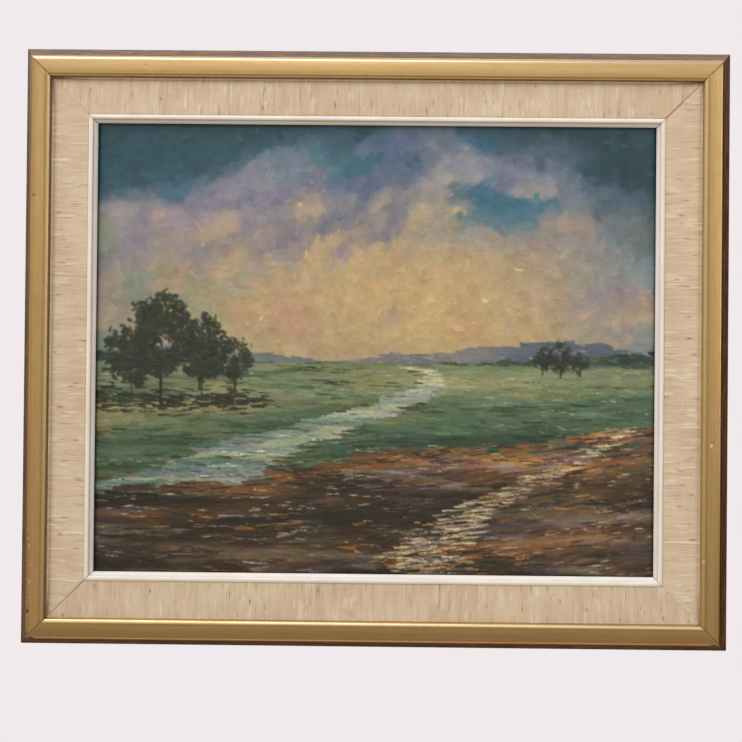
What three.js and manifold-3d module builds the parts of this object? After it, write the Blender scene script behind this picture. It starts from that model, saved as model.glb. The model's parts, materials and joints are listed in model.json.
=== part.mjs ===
// A framed oil painting: a canvas on a wooden stretcher, behind a white slip and a cloth-covered liner,
// in a gilt moulding that hangs from a toothed hanger on the back of its top rail.
//
// Millimetres. +X runs to the right as seen from the front, +Y to the wall, +Z up. The origin is on the
// back of the hanger, where a wall hook takes the weight.
//
// Every rail is one section swept along a side of the picture and cut at 45 degrees at both ends. A
// section is drawn in two measures: w, outwards from the sight edge (where the paint begins to show),
// and d, forwards from the back of the gilt moulding.

import * as THREE from 'three';
import { mergeVertices } from 'three/addons/utils/BufferGeometryUtils.js';
import Module from 'manifold-3d';

const wasm = await Module();
wasm.setup();

// ---- driving dimensions --------------------------------------------------------------------------

const SIGHT_W = 498; // the painted area that shows
const SIGHT_H = 399.5;
const CANVAS_W = 508; // the stretched canvas, 20 x 16 in
const CANVAS_H = 406.4;
const FIT = 0.3; // gap between pieces that touch

const SLIP_W = 6.8; // sight edge to the slip's outer side
const LINER_W = 33.3; // cloth that shows
const GILT_W = 18.6; // gilt face, inner lip to outer arris
const CANT_W = 10.3; // how far the sides flare out towards the wall

const NOSE_W = 3.8; // the rounded nose along the gilt moulding's inner edge
const NOSE_D = 26.3; // where the nose's round ends, above the lip
const HOLLOW_W = 4.8; // the shallow hollow between the nose and the face
const HOLLOW_D = 29.4;
const SHOULDER_W = 3.1; // the rounded shoulder inside the outer arris
const LIP_D = 25; // underside of the gilt lip
const CREST_D = 29.5; // highest line of the gilt face
const ARRIS_D = 25.4; // outer edge of the gilt face
const SIDE_D = 6; // upright part of the sides, next to the wall
const GILT_REBATE = 6.4; // how far the gilt lip covers the liner

const LINER_BACK_D = 1;
const LINER_EDGE_R = 0.8; // the cloth's turn at its inner edge
const CANVAS_REBATE = 9.5; // liner's inner wall, from the sight edge

const SLIP_BACK_D = 16.8;
const SLIP_FLANGE_D = 19; // top of the flange that lies behind the liner
const SLIP_EDGE_D = 20.9; // top of the thin sight edge
const SLIP_EDGE_T = 1;
const SLIP_UNDERCUT = 2.4;
const SLIP_BEAD_R = 1.55;
const SLIP_QUIRK_D = 23.6; // bottom of the groove inside the bead

const CLOTH_T = 0.8; // primed canvas
const CLOTH_FIT = 0.2;
const CANVAS_FRONT_D = 16.4;
const CANVAS_BACK_D = 1;
const TURNOVER = 14; // canvas folded onto the back of the stretcher

const BAR_W = 44;
const BAR_FACE_DROP = 2; // the bars fall away from the canvas behind their outer rim
const BAR_RIM = 3;

const KEY_L = 26;
const KEY_IN = 9; // length of a key inside its slot
const KEY_T = 3;
const KEY_TIP = 2.4;
const KEY_HEEL = 8;
const KEY_LEVELS = [3.4, 9.2]; // back faces of the two keys at a corner, from the back of the bars

const PLATE_L = 34;
const PLATE_W = 12;
const PLATE_T = 1.2;
const PLATE_HOLE_W = 15; // screw's place on the liner, from the sight edge
const PLATE_OUT_W = 21;

const HANGER_L = 46;
const HANGER_W = 11;
const HANGER_T = 0.8;
const HANGER_RISE = 1.3; // how far the toothed middle stands off its feet
const HANGER_FOOT = 9;
const HANGER_JOGGLE = 2;
const TOOTH_PITCH = 3;
const TOOTH_H = 2.4;
const TEETH = 7;

const SCREW = { headR: 3.1, headH: 1.3, shankR: 1.4, shankL: 11, slotW: 0.8, slotH: 0.6 };
const PIN = { headR: 2, headH: 0.8, shankR: 0.9, shankL: 9, slotW: 0.5, slotH: 0.4 };
const SHANK_FIT = 0.3;
const SEAT_FIT = 0.05; // gap under a screw's head
const ROUND = 16; // sides of a screw or a screw hole

// ---- worked out from them ------------------------------------------------------------------------

const LINER_IN = SLIP_W;
const GILT_IN = LINER_IN + LINER_W;
const ARRIS_W = GILT_IN + GILT_W;
const OUTER_W = ARRIS_W + CANT_W;
const REBATE_WALL = GILT_IN + GILT_REBATE;
const LINER_FACE_D = LIP_D - FIT;
const STAND_OFF = FIT + HANGER_RISE + HANGER_T; // wall side of the hanger, from the back of the moulding
const HANGER_RAIL_W = (REBATE_WALL + OUTER_W) / 2; // middle of the moulding's flat back
const DROP = SIGHT_H / 2 + HANGER_RAIL_W; // from the hook down to the middle of the picture
const BAR_BACK_D = CANVAS_BACK_D + CLOTH_T + CLOTH_FIT;
const BAR_FRONT_D = CANVAS_FRONT_D - CLOTH_T - CLOTH_FIT;

const gilt = material(0xb8935a, 0.42, 0.75);
const linerCloth = material(0xcdb699, 0.95, 0);
const slipPaint = material(0xe6dccd, 0.6, 0);
const primedCanvas = material(0x6f6a58, 0.7, 0);
const pine = material(0xc9a877, 0.8, 0);
const beech = material(0xd2b184, 0.75, 0);
const zincSteel = material(0x9a9a96, 0.45, 0.9);
const brass = material(0xb08d4c, 0.4, 0.9);

function material(color, roughness, metalness) {
  return new THREE.MeshStandardMaterial({ color, roughness, metalness });
}

// ---- solids --------------------------------------------------------------------------------------

function toSolid(geometry) {
  const bare = geometry.clone();
  bare.deleteAttribute('normal');
  bare.deleteAttribute('uv');
  const merged = mergeVertices(bare.index ? bare.toNonIndexed() : bare, 1e-4);
  return new wasm.Manifold(new wasm.Mesh({
    numProp: 3,
    vertProperties: new Float32Array(merged.attributes.position.array),
    triVerts: new Uint32Array(merged.index.array),
  }));
}

function toGeometry(solid) {
  const mesh = solid.getMesh();
  const geometry = new THREE.BufferGeometry();
  geometry.setAttribute('position', new THREE.BufferAttribute(new Float32Array(mesh.vertProperties), 3));
  geometry.setIndex(new THREE.BufferAttribute(new Uint32Array(mesh.triVerts), 1));
  geometry.computeVertexNormals();
  return geometry;
}

function cutFrom(geometry, cutters) {
  let solid = toSolid(geometry);
  for (const cutter of cutters) solid = solid.subtract(toSolid(cutter));
  return toGeometry(solid);
}

function joined(geometries) {
  const [first, ...rest] = geometries.map(toSolid);
  return toGeometry(rest.reduce((whole, next) => whole.add(next), first));
}

function boxBetween(low, high) {
  const size = high.map((value, i) => value - low[i]);
  return new THREE.BoxGeometry(...size).translate(...low.map((value, i) => value + size[i] / 2));
}

/** A shape in X and Z, thickened along Y from the depth d0 to the depth d1, with d1 nearer the viewer. */
function slab(shape, d0, d1, curveSegments = 8) {
  const geometry = new THREE.ExtrudeGeometry(shape, { depth: d1 - d0, bevelEnabled: false, curveSegments });
  return geometry.rotateX(Math.PI / 2).translate(0, -d0, 0);
}

/** A section swept along the top side, with both ends cut at 45 degrees. The other sides are turned copies. */
function mitredRail(section, halfLength, halfOut, curveSegments) {
  const geometry = new THREE.ExtrudeGeometry(section, { depth: 1, bevelEnabled: false, curveSegments });
  const position = geometry.attributes.position;
  for (let i = 0; i < position.count; i++) {
    const w = position.getX(i);
    const d = position.getY(i);
    const end = position.getZ(i) > 0.5 ? 1 : -1;
    position.setXYZ(i, end * (halfLength + w - FIT / 2), -d, halfOut + w);
  }
  geometry.computeVertexNormals();
  return geometry;
}

// ---- sections ------------------------------------------------------------------------------------

function giltSection() {
  const shoulder = [ARRIS_W - SHOULDER_W, CREST_D - 1.1];
  const hollow = [GILT_IN + HOLLOW_W, HOLLOW_D];
  const nose = [GILT_IN + NOSE_W, HOLLOW_D + 0.02];
  const s = new THREE.Shape();
  s.moveTo(REBATE_WALL, 0);
  s.lineTo(OUTER_W, 0);
  s.lineTo(OUTER_W, SIDE_D);
  s.lineTo(ARRIS_W + 0.6, ARRIS_D - 1.2);
  s.bezierCurveTo(ARRIS_W + 0.2, ARRIS_D + 0.8, ARRIS_W - 0.9, CREST_D - 1.4, ...shoulder);
  s.bezierCurveTo(ARRIS_W - 7, CREST_D - 0.55, ARRIS_W - 9.7, CREST_D - 0.1, ...hollow);
  s.lineTo(...nose);
  s.bezierCurveTo(nose[0] - 1.2, CREST_D + 0.3, GILT_IN + 0.5, CREST_D - 1, GILT_IN, NOSE_D);
  s.lineTo(GILT_IN, LIP_D);
  s.lineTo(REBATE_WALL, LIP_D);
  s.closePath();
  return s;
}

function linerSection() {
  const edge = LINER_IN + FIT;
  const lipBack = SLIP_FLANGE_D + FIT;
  const s = new THREE.Shape();
  s.moveTo(CANVAS_REBATE, LINER_BACK_D);
  s.lineTo(REBATE_WALL - FIT, LINER_BACK_D);
  s.lineTo(REBATE_WALL - FIT, LINER_FACE_D);
  s.lineTo(edge + LINER_EDGE_R, LINER_FACE_D);
  s.quadraticCurveTo(edge, LINER_FACE_D, edge, LINER_FACE_D - LINER_EDGE_R);
  s.lineTo(edge, lipBack);
  s.lineTo(CANVAS_REBATE, lipBack);
  s.closePath();
  return s;
}

function slipSection() {
  const beadW = SLIP_W - SLIP_BEAD_R;
  const beadD = LINER_FACE_D + 0.1;
  const edgeBack = SLIP_EDGE_D - SLIP_EDGE_T;
  const s = new THREE.Shape();
  s.moveTo(SLIP_UNDERCUT, SLIP_BACK_D);
  s.lineTo(CANVAS_REBATE - FIT, SLIP_BACK_D);
  s.lineTo(CANVAS_REBATE - FIT, SLIP_FLANGE_D);
  s.lineTo(SLIP_W, SLIP_FLANGE_D);
  s.lineTo(SLIP_W, beadD);
  s.absarc(beadW, beadD, SLIP_BEAD_R, 0, Math.PI, false);
  s.lineTo(beadW - SLIP_BEAD_R - 0.1, SLIP_QUIRK_D);
  s.lineTo(beadW - SLIP_BEAD_R - 0.5, SLIP_QUIRK_D);
  s.bezierCurveTo(2.2, SLIP_QUIRK_D - 0.2, 0.4, SLIP_QUIRK_D - 1.4, 0, SLIP_EDGE_D);
  s.lineTo(0, edgeBack);
  s.lineTo(SLIP_UNDERCUT, edgeBack);
  s.closePath();
  return s;
}

/** A stretcher bar, with w measured inwards as a negative number from the bar's outer side. */
function barSection() {
  const s = new THREE.Shape();
  s.moveTo(0, BAR_BACK_D);
  s.lineTo(0, BAR_FRONT_D);
  s.lineTo(-BAR_RIM, BAR_FRONT_D);
  s.lineTo(-2 * BAR_RIM, BAR_FRONT_D - BAR_FACE_DROP);
  s.lineTo(-BAR_W, BAR_FRONT_D - BAR_FACE_DROP - 0.6);
  s.lineTo(-BAR_W, BAR_BACK_D);
  s.closePath();
  return s;
}

// ---- pieces --------------------------------------------------------------------------------------

const picture = new THREE.Group(); // at the middle of the picture, on the plane of the moulding's back
picture.position.set(0, -STAND_OFF, -DROP);

const SIDES = [
  { name: 'top', turn: 0, across: 'w' },
  { name: 'right', turn: Math.PI / 2, across: 'h' },
  { name: 'bottom', turn: Math.PI, across: 'w' },
  { name: 'left', turn: -Math.PI / 2, across: 'h' },
];

function add(name, geometry, finish, turn = 0) {
  const mesh = new THREE.Mesh(geometry, finish);
  mesh.name = name;
  mesh.rotation.y = turn;
  picture.add(mesh);
  return mesh;
}

/** Half the length of a side, and half the distance to the side across from it. */
function halves(side, width, height) {
  return side.across === 'w' ? [width / 2, height / 2] : [height / 2, width / 2];
}

function addRails(prefix, section, finish, curveSegments) {
  for (const side of SIDES) {
    const [halfLength, halfOut] = halves(side, SIGHT_W, SIGHT_H);
    add(`${prefix}_${side.name}`, mitredRail(section, halfLength, halfOut, curveSegments), finish, side.turn);
  }
}

/** The liner rails are drilled for the screws of the plates that hold the stretcher. */
function addLiner() {
  const section = linerSection();
  for (const side of SIDES) {
    const [halfLength, halfOut] = halves(side, SIGHT_W, SIGHT_H);
    const rail = mitredRail(section, halfLength, halfOut, 4);
    const hole = screwHole(SCREW, LINER_BACK_D).translate(0, 0, halfOut + PLATE_HOLE_W);
    add(`liner_rail_${side.name}`, cutFrom(rail, [hole]), linerCloth, side.turn);
  }
}

/** The gilt rails; the top one is drilled for the hanger's pins. */
function addGilt() {
  const section = giltSection();
  for (const side of SIDES) {
    const [halfLength, halfOut] = halves(side, SIGHT_W, SIGHT_H);
    let rail = mitredRail(section, halfLength, halfOut, 7);
    if (side.name === 'top') {
      const holes = pinPlaces().map((x) => screwHole(PIN, 0).translate(x, 0, halfOut + HANGER_RAIL_W));
      rail = cutFrom(rail, holes);
    }
    add(`gilt_rail_${side.name}`, rail, gilt, side.turn);
  }
}

/** The canvas: a front, four turned sides and the strips folded onto the back of the stretcher. */
function addCanvas() {
  const [x, z] = [CANVAS_W / 2, CANVAS_H / 2];
  const front = boxBetween([-x, -CANVAS_FRONT_D, -z], [x, -CANVAS_FRONT_D + CLOTH_T, z]);
  const pieces = [front];
  for (const side of SIDES) {
    const [halfLength, halfOut] = halves(side, CANVAS_W, CANVAS_H);
    const fold = new THREE.Shape();
    fold.moveTo(-CLOTH_T, CANVAS_FRONT_D - CLOTH_T / 2);
    fold.lineTo(-CLOTH_T, CANVAS_BACK_D + CLOTH_T);
    fold.lineTo(-TURNOVER, CANVAS_BACK_D + CLOTH_T);
    fold.lineTo(-TURNOVER, CANVAS_BACK_D);
    fold.lineTo(0, CANVAS_BACK_D);
    fold.lineTo(0, CANVAS_FRONT_D - CLOTH_T / 2);
    fold.closePath();
    const turned = mitredRail(fold, halfLength + FIT / 2, halfOut, 1);
    pieces.push(turned.rotateY(side.turn));
  }
  add('canvas', joined(pieces), primedCanvas);
}

/** A key's outline in its corner: it lies along a bar's inner edge, and its tip is in the next bar's slot. */
function keyOutline(grow) {
  const s = new THREE.Shape();
  s.moveTo(-KEY_IN - grow, FIT - grow);
  s.lineTo(KEY_L - KEY_IN, FIT - grow);
  s.lineTo(KEY_L - KEY_IN, FIT + KEY_HEEL + grow);
  s.lineTo(-KEY_IN - grow, FIT + KEY_TIP + grow);
  s.closePath();
  return s;
}

/** The two keys of each corner, and the slots that they need, one set in from each bar. */
function cornerKeys(grow = 0) {
  const innerX = CANVAS_W / 2 - CLOTH_T - CLOTH_FIT - BAR_W;
  const innerZ = CANVAS_H / 2 - CLOTH_T - CLOTH_FIT - BAR_W;
  const keys = [];
  for (const [sx, sz] of [[-1, -1], [1, -1], [1, 1], [-1, 1]]) {
    KEY_LEVELS.forEach((level, upright) => {
      const back = BAR_BACK_D + level;
      let key = slab(keyOutline(grow), back - grow, back + KEY_T + grow);
      if (upright) key = mirrored(key.rotateY(-Math.PI / 2), [-1, 1, 1]);
      key = mirrored(key, [-sx, 1, -sz]);
      keys.push(key.translate(sx * innerX, 0, sz * innerZ));
    });
  }
  return keys;
}

/** The geometry scaled by +1 or -1 along each axis, with its faces kept pointing outwards. */
function mirrored(geometry, signs) {
  const flat = geometry.index ? geometry.toNonIndexed() : geometry;
  flat.scale(...signs);
  if (signs[0] * signs[1] * signs[2] < 0) {
    const position = flat.attributes.position;
    const corner = new THREE.Vector3();
    const other = new THREE.Vector3();
    for (let i = 0; i < position.count; i += 3) {
      corner.fromBufferAttribute(position, i + 1);
      other.fromBufferAttribute(position, i + 2);
      position.setXYZ(i + 1, other.x, other.y, other.z);
      position.setXYZ(i + 2, corner.x, corner.y, corner.z);
    }
  }
  return flat;
}

function addStretcher() {
  const section = barSection();
  const edge = CLOTH_T + CLOTH_FIT;
  const slots = cornerKeys(FIT);
  for (const side of SIDES) {
    const [halfLength, halfOut] = halves(side, CANVAS_W - 2 * edge, CANVAS_H - 2 * edge);
    const bar = mitredRail(section, halfLength, halfOut, 1).rotateY(side.turn);
    add(`stretcher_bar_${side.name}`, cutFrom(bar, slots), pine);
  }
  cornerKeys().forEach((key, i) => {
    key.computeVertexNormals();
    add(`stretcher_key_${i + 1}`, key, beech);
  });
}

/** A slotted screw along Y: its head's seat is at y = 0 and its shank reaches towards the viewer, to -Y. */
function screw(size) {
  const profile = [
    new THREE.Vector2(0, -size.shankL),
    new THREE.Vector2(size.shankR, 2 * size.shankR - size.shankL),
    new THREE.Vector2(size.shankR, 0),
    new THREE.Vector2(size.headR, 0),
    new THREE.Vector2(size.headR, 0.3 * size.headH),
    new THREE.Vector2(0.6 * size.headR, 0.85 * size.headH),
    new THREE.Vector2(0, size.headH),
  ];
  const slot = boxBetween(
    [-size.headR - 1, size.headH - size.slotH, -size.slotW / 2],
    [size.headR + 1, size.headH + 1, size.slotW / 2],
  );
  return cutFrom(new THREE.LatheGeometry(profile, ROUND), [slot]);
}

/** The hole for a screw's shank, open at the depth d of the wood's back. */
function screwHole(size, d) {
  const length = size.shankL + 2;
  const radius = size.shankR + SHANK_FIT;
  return new THREE.CylinderGeometry(radius, radius, length, ROUND).translate(0, -d - length / 2 + 2, 0);
}

/** Flat steel plates, one in the middle of each side, screwed to the liner and lying on the stretcher. */
function addRetainers() {
  const radius = PLATE_W / 2;
  const outer = PLATE_OUT_W - radius;
  const inner = PLATE_OUT_W - PLATE_L + radius;
  const outline = new THREE.Shape();
  outline.moveTo(radius, inner);
  outline.lineTo(radius, outer);
  outline.absarc(0, outer, radius, 0, Math.PI, false);
  outline.lineTo(-radius, inner);
  outline.absarc(0, inner, radius, Math.PI, 2 * Math.PI, false);
  outline.holes.push(circle(0, PLATE_HOLE_W, SCREW.shankR + SHANK_FIT));

  const front = LINER_BACK_D - FIT;
  const back = front - PLATE_T;
  for (const side of SIDES) {
    const [, halfOut] = halves(side, SIGHT_W, SIGHT_H);
    const plate = slab(outline, back, front).translate(0, 0, halfOut);
    add(`retaining_plate_${side.name}`, plate, zincSteel, side.turn);
    const fixing = screw(SCREW).translate(0, SEAT_FIT - back, halfOut + PLATE_HOLE_W);
    add(`retaining_screw_${side.name}`, fixing, zincSteel, side.turn);
  }
}

function circle(x, y, radius) {
  const path = new THREE.Path();
  path.absarc(x, y, radius, 0, 2 * Math.PI, true);
  return path;
}

function pinPlaces() {
  const x = (HANGER_L - HANGER_FOOT) / 2;
  return [-x, x];
}

/** The toothed hanger: a bent brass strip, its feet on the wood and its toothed middle standing off. */
function addHanger() {
  const half = HANGER_L / 2;
  const knee = half - HANGER_FOOT;
  const rise = knee - HANGER_JOGGLE;
  const strip = new THREE.ExtrudeGeometry(bentStrip(half, knee, rise), { depth: HANGER_W, bevelEnabled: false });
  strip.translate(0, 0, -HANGER_W / 2);
  const depth = STAND_OFF + 1;
  const stamp = slab(toothedOutline(half), -depth, depth);
  const hanger = toGeometry(toSolid(strip).intersect(toSolid(stamp)));
  const railZ = SIGHT_H / 2 + HANGER_RAIL_W;
  add('hanger', hanger.translate(0, 0, railZ), brass);
  pinPlaces().forEach((x, i) => {
    add(`hanger_pin_${i + 1}`, screw(PIN).translate(x, FIT + HANGER_T + SEAT_FIT, railZ), brass);
  });
}

/** The strip seen along its width: feet at both ends, and the middle raised between two slopes. */
function bentStrip(half, knee, rise) {
  const wood = [[-half, FIT], [-knee, FIT], [-rise, FIT + HANGER_RISE]];
  const nearSide = [...wood, ...wood.map(([x, y]) => [-x, y]).reverse()];
  const wallSide = nearSide.map(([x, y]) => [x, y + HANGER_T]).reverse();
  return new THREE.Shape([...nearSide, ...wallSide].map(([x, y]) => new THREE.Vector2(x, y)));
}

/** The strip seen from the wall: cut corners, a hole in each foot and teeth along the lower edge. */
function toothedOutline(half) {
  const edge = HANGER_W / 2 - 0.01;
  const corner = 1.5;
  const outline = new THREE.Shape();
  outline.moveTo(-half + corner, edge);
  outline.lineTo(-half, edge - corner);
  outline.lineTo(-half, corner - edge);
  outline.lineTo(-half + corner, -edge);
  for (let i = 0; i < TEETH; i++) {
    const x = (i - (TEETH - 1) / 2) * TOOTH_PITCH;
    outline.lineTo(x - TOOTH_PITCH / 2 + 0.2, -edge);
    outline.lineTo(x, TOOTH_H - edge);
    outline.lineTo(x + TOOTH_PITCH / 2 - 0.2, -edge);
  }
  outline.lineTo(half - corner, -edge);
  outline.lineTo(half, corner - edge);
  outline.lineTo(half, edge - corner);
  outline.lineTo(half - corner, edge);
  outline.closePath();
  for (const x of pinPlaces()) outline.holes.push(circle(x, 0, PIN.shankR + SHANK_FIT));
  return outline;
}

addGilt();
addLiner();
addRails('slip_rail', slipSection(), slipPaint, 6);
addCanvas();
addStretcher();
addRetainers();
addHanger();

export default picture;
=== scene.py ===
"""A framed oil painting: gilt moulding, cloth liner, white slip and a stretched canvas with its paint.

The sizes of the classes are in millimetres. A place on a side of the frame is given by three measures,
as a framer takes them: along the side from its middle, out from the sight edge (where the paint begins
to show), and the depth, forwards from the flat back of the gilt moulding.
"""

from __future__ import annotations

import json
import logging
import math
from dataclasses import dataclass, field, replace
from enum import Enum
from functools import partial
from typing import Callable, Sequence

import bmesh
import bpy
import numpy as np
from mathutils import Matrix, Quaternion, Vector

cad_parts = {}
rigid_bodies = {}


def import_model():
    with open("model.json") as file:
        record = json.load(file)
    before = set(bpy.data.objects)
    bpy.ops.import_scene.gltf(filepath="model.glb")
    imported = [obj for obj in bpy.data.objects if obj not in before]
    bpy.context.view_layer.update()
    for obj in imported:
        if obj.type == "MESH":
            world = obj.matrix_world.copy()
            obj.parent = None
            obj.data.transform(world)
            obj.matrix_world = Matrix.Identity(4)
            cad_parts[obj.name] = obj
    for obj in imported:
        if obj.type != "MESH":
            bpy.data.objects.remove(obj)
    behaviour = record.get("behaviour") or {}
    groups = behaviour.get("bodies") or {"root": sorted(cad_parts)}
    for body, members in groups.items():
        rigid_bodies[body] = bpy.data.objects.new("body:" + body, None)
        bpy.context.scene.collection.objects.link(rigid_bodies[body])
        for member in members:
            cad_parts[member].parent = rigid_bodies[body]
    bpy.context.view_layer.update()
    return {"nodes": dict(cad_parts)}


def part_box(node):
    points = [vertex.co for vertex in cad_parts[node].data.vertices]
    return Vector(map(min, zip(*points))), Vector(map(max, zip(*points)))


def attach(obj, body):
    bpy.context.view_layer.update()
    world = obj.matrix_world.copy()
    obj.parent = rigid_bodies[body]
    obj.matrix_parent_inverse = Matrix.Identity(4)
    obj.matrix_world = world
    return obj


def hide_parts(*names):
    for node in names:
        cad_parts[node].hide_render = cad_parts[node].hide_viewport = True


log = logging.getLogger("framed_painting")

MM = 0.001
Array = np.ndarray
Dice = np.random.Generator
Socket = bpy.types.NodeSocket
Stops = Sequence[tuple[float, str]]


# ---- colour and nodes ----


def srgb(hex_colour: str) -> Array:
    """Returns the sRGB values, from 0 to 1, of a colour written as six hex digits."""
    return np.array([int(hex_colour[i : i + 2], 16) / 255 for i in (0, 2, 4)], np.float32)


def to_linear(values: Array) -> Array:
    """Returns sRGB values, from 0 to 1, as linear light."""
    return np.where(values <= 0.04045, values / 12.92, ((values + 0.055) / 1.055) ** 2.4)


def linear(hex_colour: str) -> tuple[float, float, float, float]:
    """Returns a colour written as six sRGB hex digits as the linear RGBA that a socket takes."""
    return (*(float(v) for v in to_linear(srgb(hex_colour))), 1.0)


def add_node(
    tree: bpy.types.NodeTree,
    kind: str,
    inputs: dict[str | int, object] | None = None,
    stops: Stops | None = None,
    output: str | None = None,
    **settings: object,
) -> Socket | None:
    """Adds one node with its settings, values and links.

    Args:
        tree: The tree that takes the node.
        kind: The node's type without its first words, such as "Bump".
        inputs: What each input in use is set to, by its name or number: a value, or the output
            socket that feeds it.
        stops: The stops of a colour ramp, each a place from 0 to 1 and a hex colour.
        output: The name of the output to return.
        **settings: The node's own settings.

    Returns:
        That output, or else the first that is in use, if the node has any.
    """
    node = tree.nodes.new(f"ShaderNode{kind}")
    for name, value in settings.items():
        setattr(node, name, value)
    in_use = [socket for socket in node.inputs if socket.enabled]
    for key, value in (inputs or {}).items():
        socket = in_use[key] if isinstance(key, int) else next(s for s in in_use if s.name == key)
        if isinstance(value, Socket):
            tree.links.new(value, socket)
        else:
            socket.default_value = value
    if stops:
        ramp = node.color_ramp
        while len(ramp.elements) < len(stops):
            ramp.elements.new(0.5)
        for element, (place, colour) in zip(ramp.elements, stops):
            element.position = place
            element.color = linear(colour)
    return node.outputs[output] if output else next((s for s in node.outputs if s.enabled), None)


NodeAdder = Callable[..., Socket]


def bare_tree(owner: bpy.types.Material | bpy.types.World) -> NodeAdder:
    """Empties a node tree.

    Args:
        owner: The material or world that has it.

    Returns:
        What adds a node to the tree.
    """
    owner.use_nodes = True
    owner.node_tree.nodes.clear()
    return partial(add_node, owner.node_tree)


def grain(node: NodeAdder, place: Socket, size: tuple[float, float, float], detail: float = 3.0) -> Socket:
    """Adds a noise pattern with patches of a real size.

    Args:
        node: Adds a node to the material's tree.
        place: The coordinates, in metres.
        size: The patches' size along each coordinate, in millimetres.
        detail: How many finer layers the noise has.

    Returns:
        The noise, mostly from 0.3 to 0.7.
    """
    scale = tuple(1.0 / (s * MM) for s in size)
    moved = node("Mapping", {"Vector": place, "Scale": scale})
    return node("TexNoise", {"Vector": moved, "Scale": 1.0, "Detail": detail, "Distortion": 0.3})


@dataclass(frozen=True)
class Finish:
    """A finish: one material, named for what the real one is.

    Attributes:
        name: The material's name.
        roughness: Its typical roughness.
    """

    name: str
    roughness: float

    def make(self) -> bpy.types.Material:
        """Makes the material the first time that it is asked for.

        Returns:
            The material.
        """
        made = bpy.data.materials.get(self.name)
        if made:
            return made
        made = bpy.data.materials.new(self.name)
        node = bare_tree(made)
        node("OutputMaterial", {"Surface": node("BsdfPrincipled", self.shader(node))})
        return made

    def shader(self, node: NodeAdder) -> dict[str, object]:
        """Adds the patterns, and returns what each of the shader's inputs is set to."""
        raise NotImplementedError


@dataclass(frozen=True)
class BrassLeaf(Finish):
    """Brass leaf laid over red-brown bole, sealed with brushed shellac and rubbed back.

    The eye gets a satin metal with faint brush streaks along the moulding, warmer, darker and duller in
    the hollow, brown where the sides are only toned, and bole showing through along worn edges, with
    painted highlights on the nose and shoulder and painted shade under the nose beside the cloth.
    """

    def shader(self, node: NodeAdder) -> dict[str, object]:
        """Adds the streaks, the toned sides, the wear, and the painted highlights and shade.

        Args:
            node: Adds a node to the material's tree.

        Returns:
            What each of the shader's inputs is set to.
        """
        rail = node("Attribute", attribute_name="rail", output="Vector")
        # These carry the toning, dirt mixed with painted shade, a painted highlight on the nose, shoulder and
        # some dents, and the bole.
        wear_and_light_parts = ("toned", "grime", "rubbed", "bole")
        toned, grime, rubbed, bole = (node("Attribute", attribute_name=part, output="Fac") for part in wear_and_light_parts)
        streak = grain(node, rail, (90, 2.2, 2.2))
        mottle = grain(node, rail, (16, 6, 6), 4.0)
        speck = grain(node, rail, (2.2, 1.4, 1.4))
        colour = node("ValToRGB", {0: streak}, stops=[(0.3, "bd995e"), (0.5, "c3a066"), (0.7, "c9a76f")])
        dull = node("MapRange", {"Value": mottle, "From Min": 0.45, "From Max": 0.75, "To Max": 0.5})
        stain = node("Math", {0: streak, 1: 0.8, 2: mottle}, operation="MULTIPLY_ADD")
        side = node("ValToRGB", {0: stain}, stops=[(0.66, "4b2c15"), (0.9, "61401f"), (1.0, "7a5735")])
        ragged = node("Math", {0: speck, 1: 1.1, 2: toned}, operation="MULTIPLY_ADD")
        brown = node("MapRange", {"Value": ragged, "From Min": 0.9, "From Max": 1.2})
        thin = node("MapRange", {"Value": streak, "From Min": 0.3, "From Max": 0.55})
        thin = node("Math", {0: thin, 1: bole}, operation="MULTIPLY")
        broken = node("MapRange", {"Value": speck, "From Min": 0.25, "From Max": 0.6, "To Min": 0.55})
        # Dirt, the darker hollow and the painted shade under the nose, broken up a little.
        dirt_and_shade_share = node("Math", {0: grime, 1: broken}, operation="MULTIPLY")
        # The pale colour is a painted highlight; the near-black brown is dirt and painted shade.
        for share, over in (
            (dull, linear("b58c50")),
            (brown, side),
            (rubbed, linear("eedfbd")),
            (thin, linear("a3642f")),
            (dirt_and_shade_share, linear("361f0e")),
        ):
            colour = node("Mix", {"Factor": share, "A": colour, "B": over}, data_type="RGBA")
        covered = node("Math", {0: brown, 1: dirt_and_shade_share}, operation="MAXIMUM")
        metal = node("MapRange", {"Value": covered, "To Min": 1.0, "To Max": 0.0})
        rough = node("Math", {0: mottle, 1: 0.3, 2: self.roughness - 0.14}, operation="MULTIPLY_ADD")
        rough = node("Math", {0: covered, 1: 0.18, 2: rough}, operation="MULTIPLY_ADD")
        height = node("Math", {0: speck, 1: 0.5, 2: streak}, operation="MULTIPLY_ADD")
        bump = node("Bump", {"Strength": 0.35, "Distance": 0.05 * MM, "Height": height})
        shellac = node("MapRange", {"Value": covered, "To Min": 1.0, "To Max": 0.15})
        return {
            "Base Color": colour,
            "Metallic": metal,
            "Roughness": rough,
            "Specular IOR Level": 0.3,
            "Coat Weight": shellac,
            "Coat IOR": 1.65,
            "Coat Roughness": 0.24,
            "Normal": bump,
        }


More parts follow.
